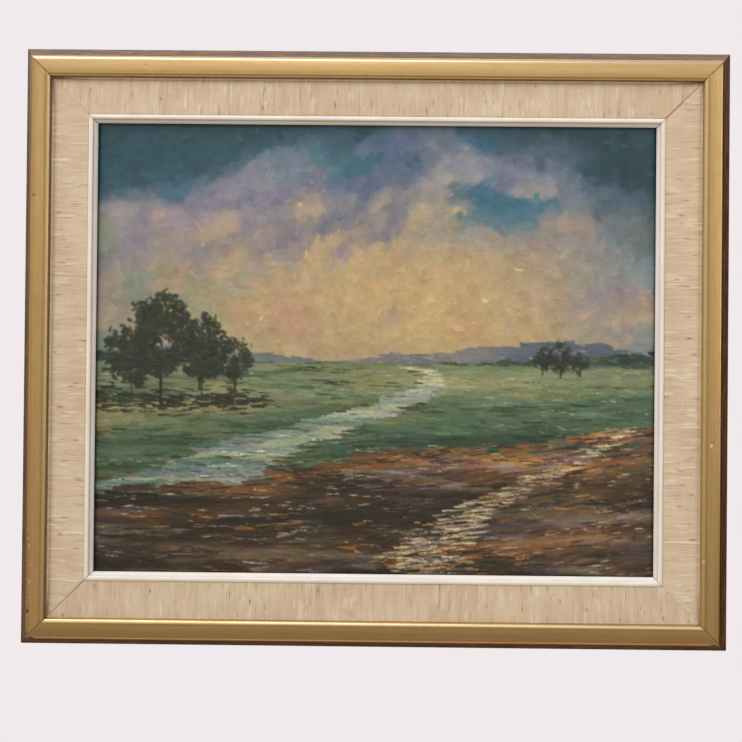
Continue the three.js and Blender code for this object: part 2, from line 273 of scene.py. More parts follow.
@dataclass(frozen=True)
class SlubSilk(Finish):
    """Raw silk cloth with thick uneven weft threads, glued round the liner.

    The eye gets a matt, light straw-coloured cloth whose threads cross the rail, each with a painted
    highlight on its back, with brown bits of husk caught in them and a painted shadow beside the gilt.
    """

    def shader(self, node: NodeAdder) -> dict[str, object]:
        """Adds the threads' colours and a fine weave.

        Args:
            node: Adds a node to the material's tree.

        Returns:
            What each of the shader's inputs is set to.
        """
        rail = node("Attribute", attribute_name="rail", output="Vector")
        thread = node("Attribute", attribute_name="thread", output="Fac")
        husk = node("Attribute", attribute_name="husk", output="Fac")
        strand = grain(node, rail, (0.8, 26, 26))
        patch = grain(node, rail, (60, 45, 45), 2.0)
        warp = grain(node, rail, (9, 0.8, 0.8), 2.0)
        tone = thread
        for pattern, share in ((strand, 0.5), (patch, 0.5), (warp, 0.25)):
            tone = node("Math", {0: pattern, 1: share, 2: tone}, operation="MULTIPLY_ADD")
        tone = node("Math", {0: tone, 1: 0.125}, operation="SUBTRACT")
        shades = [(0.0, "c2a88e"), (0.3, "d3bca4"), (0.55, "dfcbb5"), (0.8, "e5d5c2"), (1.0, "efe6da")]
        colour = node("ValToRGB", {0: tone}, stops=shades)
        pulled = grain(node, rail, (1.3, 16, 16), 2.0)
        pulled = node("MapRange", {"Value": pulled, "From Min": 0.62, "From Max": 0.76, "To Max": 0.6})
        # The brown paints bits of husk, the mitres' dirt and the painted shadow beside the gilt.
        for share, over in ((pulled, "9c7d5e"), (husk, "75532f")):
            colour = node("Mix", {"Factor": share, "A": colour, "B": linear(over)}, data_type="RGBA")
        height = node("Math", {0: warp, 1: 0.5, 2: strand}, operation="MULTIPLY_ADD")
        bump = node("Bump", {"Strength": 0.5, "Distance": 0.16 * MM, "Height": height})
        return {
            "Base Color": colour,
            "Roughness": self.roughness,
            "Specular IOR Level": 0.2,
            "Sheen Weight": 0.12,
            "Normal": bump,
        }


@dataclass(frozen=True)
class EggshellPaint(Finish):
    """Oil eggshell brushed on the wooden slip, yellowed a little with age.

    The eye gets a soft gloss, faint brush marks along the rail, painted shade in the groove and under the
    thin sight edge, and dirty mitres.
    """

    def shader(self, node: NodeAdder) -> dict[str, object]:
        """Adds the brush marks, the painted shade and the mitres' dirt.

        Args:
            node: Adds a node to the material's tree.

        Returns:
            What each of the shader's inputs is set to.
        """
        rail = node("Attribute", attribute_name="rail", output="Vector")
        grime = node("Attribute", attribute_name="grime", output="Fac")
        marks = grain(node, rail, (45, 0.8, 0.8))
        patch = grain(node, rail, (24, 8, 8))
        colour = node("ValToRGB", {0: patch}, stops=[(0.3, "ebe6e2"), (0.6, "f2eeeb"), (0.8, "f6f3f1")])
        # Painted shade in the groove and under the sight edge, and dirt in the mitres.
        colour = node("Mix", {"Factor": grime, "A": colour, "B": linear("9c8f83")}, data_type="RGBA")
        rough = node("Math", {0: marks, 1: 0.3, 2: self.roughness - 0.15}, operation="MULTIPLY_ADD")
        bump = node("Bump", {"Strength": 0.3, "Distance": 0.05 * MM, "Height": marks})
        return {"Base Color": colour, "Roughness": rough, "Normal": bump}


@dataclass(frozen=True)
class OilPaint(Finish):
    """Oil colour, brushed on thick and thin, under an old thin varnish.

    The eye gets the colours of the strokes, a weave where the paint is thin, and small glints along
    the ridges that the bristles left.
    """

    def shader(self, node: NodeAdder) -> dict[str, object]:
        """Adds the colours, bristle marks and tooth of the canvas.

        Args:
            node: Adds a node to the material's tree.

        Returns:
            What each of the shader's inputs is set to.
        """
        place = node("TexCoord", output="Object")
        paint = node("Attribute", attribute_name="paint")
        thick = node("Attribute", attribute_name="thick", output="Fac")
        bristle = grain(node, place, (2.6, 2.6, 0.7))
        # Threads of a real canvas are 0.5 mm apart, too fine to show, so the tooth is drawn at 1.2 mm.
        level = grain(node, place, (5.0, 5.0, 1.2), 1.0)
        upright = grain(node, place, (1.2, 5.0, 5.0), 1.0)
        tooth = node("Math", {0: level, 1: upright}, operation="ADD")
        shade = node("Math", {0: tooth, 1: 0.5, 2: bristle}, operation="MULTIPLY_ADD")
        tones = node("ValToRGB", {0: shade}, stops=[(0.6, "ececec"), (0.85, "f8f8f8"), (1.0, "ffffff")])
        colour = node(
            "Mix", {"Factor": 1.0, "A": paint, "B": tones}, data_type="RGBA", blend_type="MULTIPLY"
        )
        rough = node("Math", {0: thick, 1: -0.14, 2: self.roughness + 0.08}, operation="MULTIPLY_ADD")
        thin = node("Math", {0: thick, 1: -0.9, 2: 1.0}, operation="MULTIPLY_ADD")
        height = node("Math", {0: tooth, 1: thin, 2: bristle}, operation="MULTIPLY_ADD")
        bump = node("Bump", {"Strength": 0.4, "Distance": 0.12 * MM, "Height": height})
        return {
            "Base Color": colour,
            "Roughness": rough,
            "Coat Weight": 0.25,
            "Coat Roughness": 0.28,
            "Normal": bump,
        }


@dataclass(frozen=True)
class RawLinen(Finish):
    """Unprimed linen, seen from behind.

    The eye gets a brown-grey weave of uneven threads both ways and the glue size showing through.
    """

    def shader(self, node: NodeAdder) -> dict[str, object]:
        """Adds the two sets of threads and the stains.

        Args:
            node: Adds a node to the material's tree.

        Returns:
            What each of the shader's inputs is set to.
        """
        place = node("TexCoord", output="Object")
        # Threads 0.6 mm apart wouldn't show, so they are drawn about 1.8 mm apart.
        level = grain(node, place, (26, 26, 1.8), 2.0)
        upright = grain(node, place, (1.8, 26, 26), 2.0)
        stain = grain(node, place, (90, 90, 70))
        weave = node("Math", {0: level, 1: upright}, operation="ADD")
        tone = node("Math", {0: stain, 1: 0.6, 2: weave}, operation="MULTIPLY_ADD")
        colour = node("MapRange", {"Value": tone, "From Min": 0.95, "From Max": 1.65})
        colour = node("ValToRGB", {0: colour}, stops=[(0.0, "86735a"), (0.5, "a8957a"), (1.0, "c3b296")])
        bump = node("Bump", {"Strength": 0.5, "Distance": 0.3 * MM, "Height": weave})
        return {"Base Color": colour, "Roughness": self.roughness, "Specular IOR Level": 0.2, "Normal": bump}


class Axis(Enum):
    """The way that the grain of a piece of wood runs: level, upright, or along its rail."""

    LEVEL = "x"
    UPRIGHT = "z"
    RAIL = "rail"


@dataclass(frozen=True)
class SawnWood(Finish):
    """Planed or sawn wood, unfinished.

    The eye gets long grain lines, paler between them, and a dry surface.

    Attributes:
        axis: The way the grain runs.
        light: Colour of the early wood.
        dark: Colour of the grain lines.
        line: Width of the grain lines, in millimetres.
    """

    axis: Axis
    light: str
    dark: str
    line: float

    def shader(self, node: NodeAdder) -> dict[str, object]:
        """Adds the grain.

        Args:
            node: Adds a node to the material's tree.

        Returns:
            What each of the shader's inputs is set to.
        """
        if self.axis is Axis.RAIL:
            place = node("Attribute", attribute_name="rail", output="Vector")
        else:
            place = node("TexCoord", output="Object")
        run = (0, 0, 1) if self.axis is Axis.UPRIGHT else (1, 0, 0)
        lines = grain(node, place, tuple(self.line + 120.0 * part for part in run))
        pores = grain(node, place, tuple(0.5 + 30.0 * part for part in run), 2.0)
        patch = grain(node, place, (90, 60, 90))
        tone = node("Math", {0: lines, 1: 3.0, 2: pores}, operation="MULTIPLY_ADD")
        tone = node("Math", {0: patch, 1: 1.0, 2: tone}, operation="MULTIPLY_ADD")
        tone = node("MapRange", {"Value": tone, "From Min": 1.8, "From Max": 3.2})
        colour = node("ValToRGB", {0: tone}, stops=[(0.0, self.dark), (0.5, self.light), (1.0, self.light)])
        bump = node("Bump", {"Strength": 0.4, "Distance": 0.15 * MM, "Height": tone})
        return {"Base Color": colour, "Roughness": self.roughness, "Specular IOR Level": 0.3, "Normal": bump}


@dataclass(frozen=True)
class PlatedMetal(Finish):
    """Thin stamped metal, plated or bare, handled and a little dulled.

    The eye gets a soft shine with cloudy patches and fine scratches.

    Attributes:
        bright: Colour where it is clean.
        dull: Colour where it has tarnished.
    """

    bright: str
    dull: str

    def shader(self, node: NodeAdder) -> dict[str, object]:
        """Adds the tarnish and the scratches.

        Args:
            node: Adds a node to the material's tree.

        Returns:
            What each of the shader's inputs is set to.
        """
        place = node("TexCoord", output="Object")
        cloud = grain(node, place, (7, 7, 7), 4.0)
        scratch = grain(node, place, (9, 1, 0.5), 2.0)
        colour = node("ValToRGB", {0: cloud}, stops=[(0.4, self.bright), (0.68, self.dull)])
        rough = node("Math", {0: cloud, 1: 0.5, 2: self.roughness - 0.25}, operation="MULTIPLY_ADD")
        bump = node("Bump", {"Strength": 0.25, "Distance": 0.04 * MM, "Height": scratch})
        return {"Base Color": colour, "Metallic": 1.0, "Roughness": rough, "Normal": bump}


GILT = BrassLeaf("brass_leaf_over_red_brown_bole", 0.33)
SILK = SlubSilk("raw_slub_silk", 0.95)
SLIP_PAINT = EggshellPaint("yellowed_eggshell_paint", 0.5)
OIL = OilPaint("varnished_oil_paint", 0.44)
LINEN = RawLinen("unprimed_linen", 0.95)
FRAME_WOOD = SawnWood("sawn_obeche_rail", 0.8, Axis.RAIL, "c9ad82", "a98a5f", 3.0)
PINE_X = SawnWood("planed_pine_along_x", 0.75, Axis.LEVEL, "d3b283", "a87f4f", 2.4)
PINE_Z = SawnWood("planed_pine_along_z", 0.75, Axis.UPRIGHT, "d3b283", "a87f4f", 2.4)
BEECH = SawnWood("split_beech", 0.7, Axis.LEVEL, "d9bd92", "bb976a", 1.2)
ZINC = PlatedMetal("zinc_plated_steel", 0.42, "b9bab8", "85857f")
BRASS = PlatedMetal("stamped_brass", 0.36, "c9a55c", "8d6c3a")


# ---- where things go ----


class Side(Enum):
    """A side of the frame and the quarter turns that bring a top rail to it."""

    TOP = 0
    RIGHT = 1
    BOTTOM = 2
    LEFT = 3

    @property
    def label(self) -> str:
        """The side's name, as the nodes spell it."""
        return self.name.lower()

    @property
    def level(self) -> bool:
        """Whether the side lies level."""
        return self in (Side.TOP, Side.BOTTOM)


@dataclass(frozen=True)
class Picture:
    """Where the picture is, in metres, and how large its opening is, in millimetres.

    Attributes:
        middle: The picture's middle, on the flat back of the moulding.
        half_width: Half the width of the opening.
        half_height: Half its height.
    """

    middle: tuple[float, float, float]
    half_width: float
    half_height: float

    @staticmethod
    def from_frame() -> "Picture":
        """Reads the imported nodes.

        Returns:
            The picture's place.
        """
        low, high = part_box("canvas")
        x, z = (low.x + high.x) / 2, (low.z + high.z) / 2
        width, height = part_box("slip_rail_right")[0].x - x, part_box("slip_rail_top")[0].z - z
        return Picture((x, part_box("gilt_rail_top")[1].y, z), width / MM, height / MM)

    def halves(self, side: Side) -> tuple[float, float]:
        """Returns half the opening along a side and half of it across, in millimetres."""
        halves = (self.half_width, self.half_height)
        return halves if side.level else halves[::-1]

    def points(self, x: Array, z: Array, depth: Array) -> Array:
        """Turns places across and up from the picture's middle, and depths forwards, into points."""
        places = np.column_stack([np.ravel(x), -np.ravel(depth), np.ravel(z)])
        return places * MM + self.middle

    def place(self, side: Side, along: Array, out: Array, depth: Array) -> Array:
        """Turns a framer's measures into points.

        Args:
            side: The side of the frame.
            along: Distance along the side from its middle, in millimetres.
            out: Distance out from the sight edge, in millimetres.
            depth: Distance forwards from the moulding's back, in millimetres.

        Returns:
            The points, in metres, one row each.
        """
        x, z = np.ravel(along), np.ravel(out) + self.halves(side)[1]
        for _ in range(side.value):
            x, z = z, -x
        return self.points(x, z, depth)


@dataclass
class Shell:
    """One closed skin: its points in metres, its faces, and what is known at each point.

    Attributes:
        points: The points, one row each.
        faces: The corners of each face.
        slots: The material slot of each face; all are 0 if it is left empty.
        facts: Values at each point, by attribute name; a row of three is a vector, four a colour.
    """

    points: Array
    faces: list[list[int]]
    slots: list[int] = field(default_factory=list)
    facts: dict[str, Array] = field(default_factory=dict)

    def volume(self) -> float:
        """Measures the enclosed volume.

        Returns:
            The volume, in cubic metres, below zero if the faces look inwards.
        """
        total = 0.0
        by_size: dict[int, list[list[int]]] = {}
        for face in self.faces:
            by_size.setdefault(len(face), []).append(face)
        middle = self.points.mean(axis=0)
        for size, faces in by_size.items():
            corners = self.points[np.array(faces)] - middle
            for k in range(1, size - 1):
                cross = np.cross(corners[:, k], corners[:, k + 1])
                total += float((corners[:, 0] * cross).sum()) / 6
        return total

    def build(self, name: str, finishes: Sequence[Finish], crease: float = 40.0) -> bpy.types.Object:
        """Makes the Blender object.

        Args:
            name: The object's name.
            finishes: The finish of each material slot.
            crease: Edges sharper than this, in degrees, stay crisp.

        Returns:
            The object, linked to the scene.
        """
        faces = self.faces if self.volume() > 0 else [face[::-1] for face in self.faces]
        mesh = bpy.data.meshes.new(name)
        mesh.from_pydata(self.points.tolist(), [], faces)
        kinds = {1: ("FLOAT", "value"), 3: ("FLOAT_VECTOR", "vector"), 4: ("FLOAT_COLOR", "color")}
        for fact, values in self.facts.items():
            kind, key = kinds[1 if values.ndim == 1 else values.shape[1]]
            layer = mesh.attributes.new(fact, kind, "POINT")
            layer.data.foreach_set(key, np.ascontiguousarray(values, np.float32).ravel())
        for finish in finishes:
            mesh.materials.append(finish.make())
        if self.slots:
            mesh.polygons.foreach_set("material_index", np.array(self.slots, np.int32))
        self.clean(mesh)
        mesh.shade_smooth()
        mesh.set_sharp_from_angle(angle=math.radians(crease))
        return put_in_scene(name, mesh)

    @staticmethod
    def clean(mesh: bpy.types.Mesh) -> None:
        """Joins points that fell together and drops the faces that vanished.

        Args:
            mesh: The mesh to clean.
        """
        work = bmesh.new()
        work.from_mesh(mesh)
        bmesh.ops.remove_doubles(work, verts=work.verts, dist=1e-6)
        bmesh.ops.dissolve_degenerate(work, dist=1e-7, edges=work.edges)
        work.to_mesh(mesh)
        work.free()
        mesh.update()


def tube(grid: Array) -> Array:
    """Returns the faces of an open tube, from the numbers of its points, one ring to a row."""
    near, far = grid[:-1], grid[1:]
    return np.stack([near, np.roll(near, -1, 1), np.roll(far, -1, 1), far], -1).reshape(-1, 4)


def swept(rings: int, ring: int) -> list[list[int]]:
    """Returns the faces of a tube of rings, numbered ring by ring, with a cap on each end."""
    grid = np.arange(rings * ring).reshape(rings, ring)
    return [*tube(grid).tolist(), grid[0][::-1].tolist(), grid[-1].tolist()]


def put_in_scene(name: str, data: bpy.types.ID) -> bpy.types.Object:
    """Puts a mesh, a camera or a lamp in the scene.

    Args:
        name: The new object's name.
        data: The mesh, camera or lamp.

    Returns:
        The object.
    """
    made = bpy.data.objects.new(name, data)
    bpy.context.scene.collection.objects.link(made)
    return made


def stand_in(piece: bpy.types.Object, node: str) -> bpy.types.Object:
    """Fixes a piece to the picture's one body, in place of a CAD node.

    Args:
        piece: The piece.
        node: The CAD node that it stands for.

    Returns:
        The piece.
    """
    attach(piece, "root")
    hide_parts(node)
    return piece


def report(piece: bpy.types.Object) -> None:
    """Logs one finished piece and its size."""
    size = [round(measure / MM, 1) for measure in piece.dimensions]
    log.info("%s: %d faces, %s mm", piece.name, len(piece.data.polygons), size)


def smooth_step(low: float, high: float, value: Array) -> Array:
    """Returns 0 below low, 1 above high and an even rise between."""
    share = np.clip((value - low) / (high - low), 0.0, 1.0)
    return share * share * (3.0 - 2.0 * share)


def bump_at(value: Array, middle: float, reach: float) -> Array:
    """Returns a bell, 1 at the middle and fading over reach."""
    return np.exp(-(((value - middle) / reach) ** 2))


def blurred(grid: Array, size_x: float, size_y: float) -> Array:
    """Blurs a grid by a bell.

    Args:
        grid: The grid.
        size_x: The bell's reach across, in cells.
        size_y: The bell's reach down, in cells.

    Returns:
        The blurred grid.
    """
    down = np.fft.fftfreq(grid.shape[0])[:, None]
    over = np.fft.rfftfreq(grid.shape[1])[None, :]
    keep = np.exp(-2.0 * math.pi**2 * ((over * size_x) ** 2 + (down * size_y) ** 2))
    return np.fft.irfft2(np.fft.rfft2(grid) * keep, s=grid.shape)


def soft_noise(rng: Dice, shape: tuple[int, int], size: tuple[float, float], layers: int = 3) -> Array:
    """Makes smooth noise by blurring random values.

    Args:
        rng: The seeded source of random values.
        shape: Rows and columns.
        size: The blur across and down, in cells.
        layers: How many layers are added, each half as large and half as strong.

    Returns:
        Noise with a mean of 0 and a spread of 1.
    """
    total = np.zeros(shape)
    for layer in range(layers):
        share = 0.5**layer
        part = blurred(rng.standard_normal(shape), size[0] * share, size[1] * share)
        total += share * part / part.std()
    return total / total.std()


# ---- curves of a section ----

Point = tuple[float, float]


def arc(middle: Point, radius: float, start: float, end: float, steps: int) -> list[Point]:
    """Returns points on an arc, from one angle to another in degrees."""
    angles = [math.radians(start + (end - start) * i / steps) for i in range(steps + 1)]
    return [(middle[0] + radius * math.cos(a), middle[1] + radius * math.sin(a)) for a in angles]


def curve(points: Sequence[Point], steps: int) -> list[Point]:
    """Draws a Bezier curve.

    Args:
        points: Its control points.
        steps: How many steps it is drawn in.

    Returns:
        The points on it, both ends included.
    """
    order = len(points) - 1
    made = []
    for i in range(steps + 1):
        t = i / steps
        weights = [math.comb(order, k) * t**k * (1 - t) ** (order - k) for k in range(order + 1)]
        made.append(tuple(sum(w * p[axis] for w, p in zip(weights, points)) for axis in (0, 1)))
    return made


def line(start: Point, end: Point, steps: int) -> list[Point]:
    """Returns even points on a straight line, both ends included."""
    return curve([start, end], steps)


def ring_of(*parts: Sequence[Point]) -> Array:
    """Joins the parts of a section, leaving out repeats.

    Args:
        *parts: The points of each part.

    Returns:
        The points, as one ring.
    """
    ring: list[Point] = []
    for point in (p for part in parts for p in part):
        if not ring or math.dist(point, ring[-1]) > 1e-4:
            ring.append(point)
    if math.dist(ring[0], ring[-1]) < 1e-4:
        ring.pop()
    return np.array(ring)


# ---- the frame's mouldings ----


def ring_places(inside: Array, reach: float, near: Sequence[float]) -> Array:
    """Returns where a rail's rings stand, as shares of its half-length, closer near its mitres."""
    near_end = 1.0 - np.array([0.0, *near]) / reach
    return np.unique(np.concatenate([inside[np.abs(inside) < near_end[-1]], near_end, -near_end]))


def rail_facts(*measures: Array, **facts: Array) -> dict[str, Array]:
    """Returns a rail's own coordinates, in metres, and other facts, all with one row to a point."""
    rail = np.column_stack([np.ravel(measure) for measure in measures]) * MM
    return {"rail": rail, **{name: np.ravel(values) for name, values in facts.items()}}


@dataclass
class GiltMoulding:
    """The gilt moulding: four mitred rails with a rounded nose, a nearly flat face and flared sides."""

    inner: float = 40.1
    face: float = 18.6
    flare: float = 10.3
    nose: float = 3.8
    nose_end: float = 26.3
    hollow_at: float = 4.8
    hollow: float = 29.3
    shoulder: float = 3.1
    lip: float = 25.0
    crest: float = 29.45
    arris: float = 25.4
    upright: float = 6.0
    rebate: float = 6.4
    gap: float = 0.15
    step: float = 3.6
    wave: float = 0.04
    wave_size: tuple[float, float] = (9.0, 14.0)
    eased: float = 0.3
    mitre_dirt: float = 0.95
    near_mitre: Sequence[float] = (0.12, 0.3, 0.6, 1.0, 1.6)

    # How many faces of the section are bare wood, on its back and in its rebate.
    BACK_FACES = 3
    REBATE_FACES = 5

    def section(self) -> Array:
        """Draws the moulding's section.

        Returns:
            A ring of (out, depth) points, from the back of the rebate.
        """
        edge = self.inner + self.face
        outer = edge + self.flare
        wall = self.inner + self.rebate
        soft = 0.5
        corner = (outer, self.upright - 0.6)
        flared = (outer - 0.35, self.upright + 1.0)
        turn = (edge + 0.6, self.arris - 1.2)
        shoulder = (edge - self.shoulder, self.crest - 1.05)
        hollow = (self.inner + self.hollow_at, self.hollow)
        nose = (self.inner + self.nose, self.hollow)
        nose_end = (self.inner, self.nose_end)
        over_nose = [(nose[0] - 1.2, self.hollow + 0.1), (self.inner + 0.5, self.crest - 1.0)]
        return ring_of(
            line((wall, 0.0), (outer - soft, 0.0), 3),
            arc((outer - soft, soft), soft, -90, 0, 3),
            line((outer, soft), corner, 2),
            curve([corner, (outer, self.upright + 0.2), flared], 3),
            line(flared, turn, 12),
            curve([turn, (edge + 0.2, self.arris + 0.8), (edge - 0.9, self.crest - 1.35), shoulder], 14),
            curve([shoulder, (edge - 7.0, self.crest - 0.5), (edge - 9.7, self.crest - 0.1), hollow], 16),
            curve([hollow, (hollow[0] - 0.5, hollow[1] - 0.04), nose], 3),
            curve([nose, *over_nose, nose_end], 12),
            line(nose_end, (self.inner, self.lip), 2),
            line((self.inner, self.lip), (wall, self.lip), 2),
            line((wall, self.lip), (wall, 0.0), 3),
        )

    def rail(self, picture: Picture, side: Side, rng: Dice) -> bpy.types.Object:
        """Builds one rail.

        Args:
            picture: Where the picture is.
            side: The side of the frame.
            rng: The seeded source of the hand-made unevenness.

        Returns:
            The rail.
        """
        half_length = picture.halves(side)[0]
        ring = self.section()
        edge = self.inner + self.face
        reach = half_length + edge
        even = np.linspace(-1.0, 1.0, round(2 * reach / self.step))
        marks = [mark for mark in KNOCKS if mark.side is side]
        spread = np.linspace(-2.0, 2.0, 9)
        near_marks = [(mark.along + spread * mark.length) / (half_length + mark.out) for mark in marks]
        share = ring_places(np.concatenate([even, *near_marks]), reach, self.near_mitre)
        out = np.tile(ring[:, 0], (share.size, 1))
        depth = np.tile(ring[:, 1], (share.size, 1))
        along = share[:, None] * (half_length + out - self.gap)
        from_end = (1.0 - np.abs(share))[:, None] * reach

        # The waviness is made at even places, so that close rings don't crease it.
        on_face = (depth > self.arris - 2.5) & (out > self.inner - 0.1)
        wave = soft_noise(rng, (even.size, len(ring)), self.wave_size, 2) * self.wave
        wave = np.column_stack([np.interp(share, even, column) for column in wave.T])
        depth = np.minimum(depth + np.where(on_face, wave, 0.0), self.crest)

        # Each mitre shows as a fine, dirty line.
        facing = smooth_step(self.upright, self.crest, depth)
        depth = depth - np.exp(-from_end / 0.35) * self.eased * facing
        grime = self.mitre_dirt * np.exp(-from_end / 0.45) * facing

        # A painted highlight lies along the nose and the shoulder, bole shows through on the shoulder, and
        # knocks dent them, each dent darkened by dirt or given a painted glint.
        wear_and_light = WEAR_AND_LIGHT[side]
        rubbed = wear_and_light.nose * bump_at(out, self.inner + 2.1, 0.6) * on_face
        fading = 1.0 - 0.6 * smooth_step(0.1, 1.0, share)[:, None]
        rubbed = rubbed + wear_and_light.shoulder * fading * bump_at(out, edge - 1.9, 1.5) * on_face
        bole = wear_and_light.bole * smooth_step(edge - 6.5, edge - 2.5, out) * smooth_step(edge + 1.5, edge, out)
        for mark in marks:
            off = np.hypot((along - mark.along) / mark.length, (out - mark.out) / mark.width)
            hit = np.exp(-(off**2)) * on_face
            depth = depth - mark.depth * hit
            grime = np.maximum(grime, mark.dirt * smooth_step(0.2, 0.6, hit))
            rubbed = np.maximum(rubbed, -mark.dirt * smooth_step(0.2, 0.6, hit))

        # The hollow is made darker, and painted shade lies on the gilt's lower nose where it meets the cloth,
        # most on the top and left sides.
        hollow = bump_at(out, self.inner + self.hollow_at - 0.2, 0.9) * on_face
        low = self.nose_end + 2.2 * wear_and_light.painted_shade
        under = bump_at(out, self.inner, 0.5 + wear_and_light.painted_shade) * smooth_step(low, low - 1.0, depth)
        shade_at_gilt_edge = wear_and_light.painted_shade * under * (depth > self.lip - 0.1)
        grime = np.maximum.reduce([grime, wear_and_light.hollow * hollow, shade_at_gilt_edge])
        toned = smooth_step(edge + wear_and_light.over, edge + wear_and_light.over + 1.3, out)

        points = picture.place(side, along, out, depth)
        wood_again = len(ring) - self.REBATE_FACES
        wood = [int(i < self.BACK_FACES or i >= wood_again) for i in range(len(ring))]
        slots = [*wood * (share.size - 1), 1, 1]
        facts = rail_facts(along, out, depth, toned=toned, grime=grime, rubbed=rubbed, bole=bole)
        shell = Shell(points, swept(share.size, len(ring)), slots, facts)
        piece = shell.build(f"gilt_moulding_{side.label}", [GILT, FRAME_WOOD], 38.0)
        return stand_in(piece, f"gilt_rail_{side.label}")


@dataclass(frozen=True)
class Knock:
    """A dent in the gilt, in millimetres along and out.

    Its dirt is how much brown it shows, or, below zero, how strong a painted glint it gets.
    """

    side: Side
    along: float
    out: float
    length: float
    width: float
    depth: float
    dirt: float


def speckled(side: Side, start: float, end: float, count: int) -> list[Knock]:
    """Strews small dents with painted glints along the outer part of a face.

    Args:
        side: The side of the frame.
        start: Where they start along it, in millimetres.
        end: Where they end.
        count: How many there are.

    Returns:
        The dents.
    """
    rng = np.random.default_rng(77)
    along, out = rng.uniform(start, end, count), rng.normal(54.9, 0.9, count)
    places = zip(along, out, rng.uniform(0.5, 1.0, count))
    return [Knock(side, *place, size, 0.8 * size, 0.2, -0.85) for *place, size in places]


@dataclass(frozen=True)
class WearAndLight:
    """How one side of the frame has aged, and how much painted highlight and painted shade it gets.

    Attributes:
        nose: How strong the painted highlight on the gilt's nose is.
        shoulder: How strong the painted highlight on its shoulder is, at the rail's start.
        bole: How much bole shows on the shoulder.
        over: How far the gilt goes over the arris, in millimetres.
        hollow: How much darker the hollow is.
        painted_shade: How much painted shade lies where one moulding meets the next.
        seams: How far the liner's mitres have opened, at the side's start and at its end.
    """

    nose: float
    shoulder: float
    bole: float
    over: float
    hollow: float
    painted_shade: float
    seams: tuple[float, float]


# Besides wear, each row gives the painted highlights on the nose and shoulder and the painted shade at the
# joins, which is strongest on the top and left.
WEAR_AND_LIGHT = {
    Side.TOP: WearAndLight(0.0, 0.6, 0.1, 0.1, 0.12, 0.95, (0.05, 0.7)),
    Side.RIGHT: WearAndLight(0.35, 0.1, 0.4, -0.7, 0.4, 0.45, (0.7, 0.05)),
    Side.BOTTOM: WearAndLight(0.5, 0.0, 0.2, 0.6, 0.4, 0.05, (0.05, 0.6)),
    Side.LEFT: WearAndLight(0.45, 0.0, 0.6, 2.6, 0.4, 0.85, (0.6, 0.05)),
}

# Knocks whose dirt is below zero get a painted glint instead of dirt.
KNOCKS = (
    Knock(Side.LEFT, 134.0, 54.3, 1.3, 0.9, 0.35, 0.95),
    Knock(Side.LEFT, -234.0, 55.6, 2.0, 1.6, 0.4, 1.0),
    Knock(Side.RIGHT, 81.0, 48.8, 1.8, 1.2, 0.3, -0.8),
    Knock(Side.RIGHT, 183.0, 42.3, 1.6, 1.0, 0.3, -0.8),
    Knock(Side.BOTTOM, -120.0, 52.0, 1.0, 1.0, 0.25, 0.5),
    Knock(Side.TOP, -205.0, 50.5, 1.2, 0.8, 0.2, 0.4),
    Knock(Side.BOTTOM, -301.5, 57.5, 3.4, 1.1, 0.5, 1.0),
    Knock(Side.RIGHT, 251.0, 57.8, 1.6, 1.2, 0.5, 0.9),
    Knock(Side.BOTTOM, 302.0, 57.3, 3.4, 1.3, 0.5, 1.0),
    Knock(Side.LEFT, -253.5, 57.0, 1.6, 1.5, 0.5, 0.95),
    *speckled(Side.LEFT, -232.0, -160.0, 22),
)


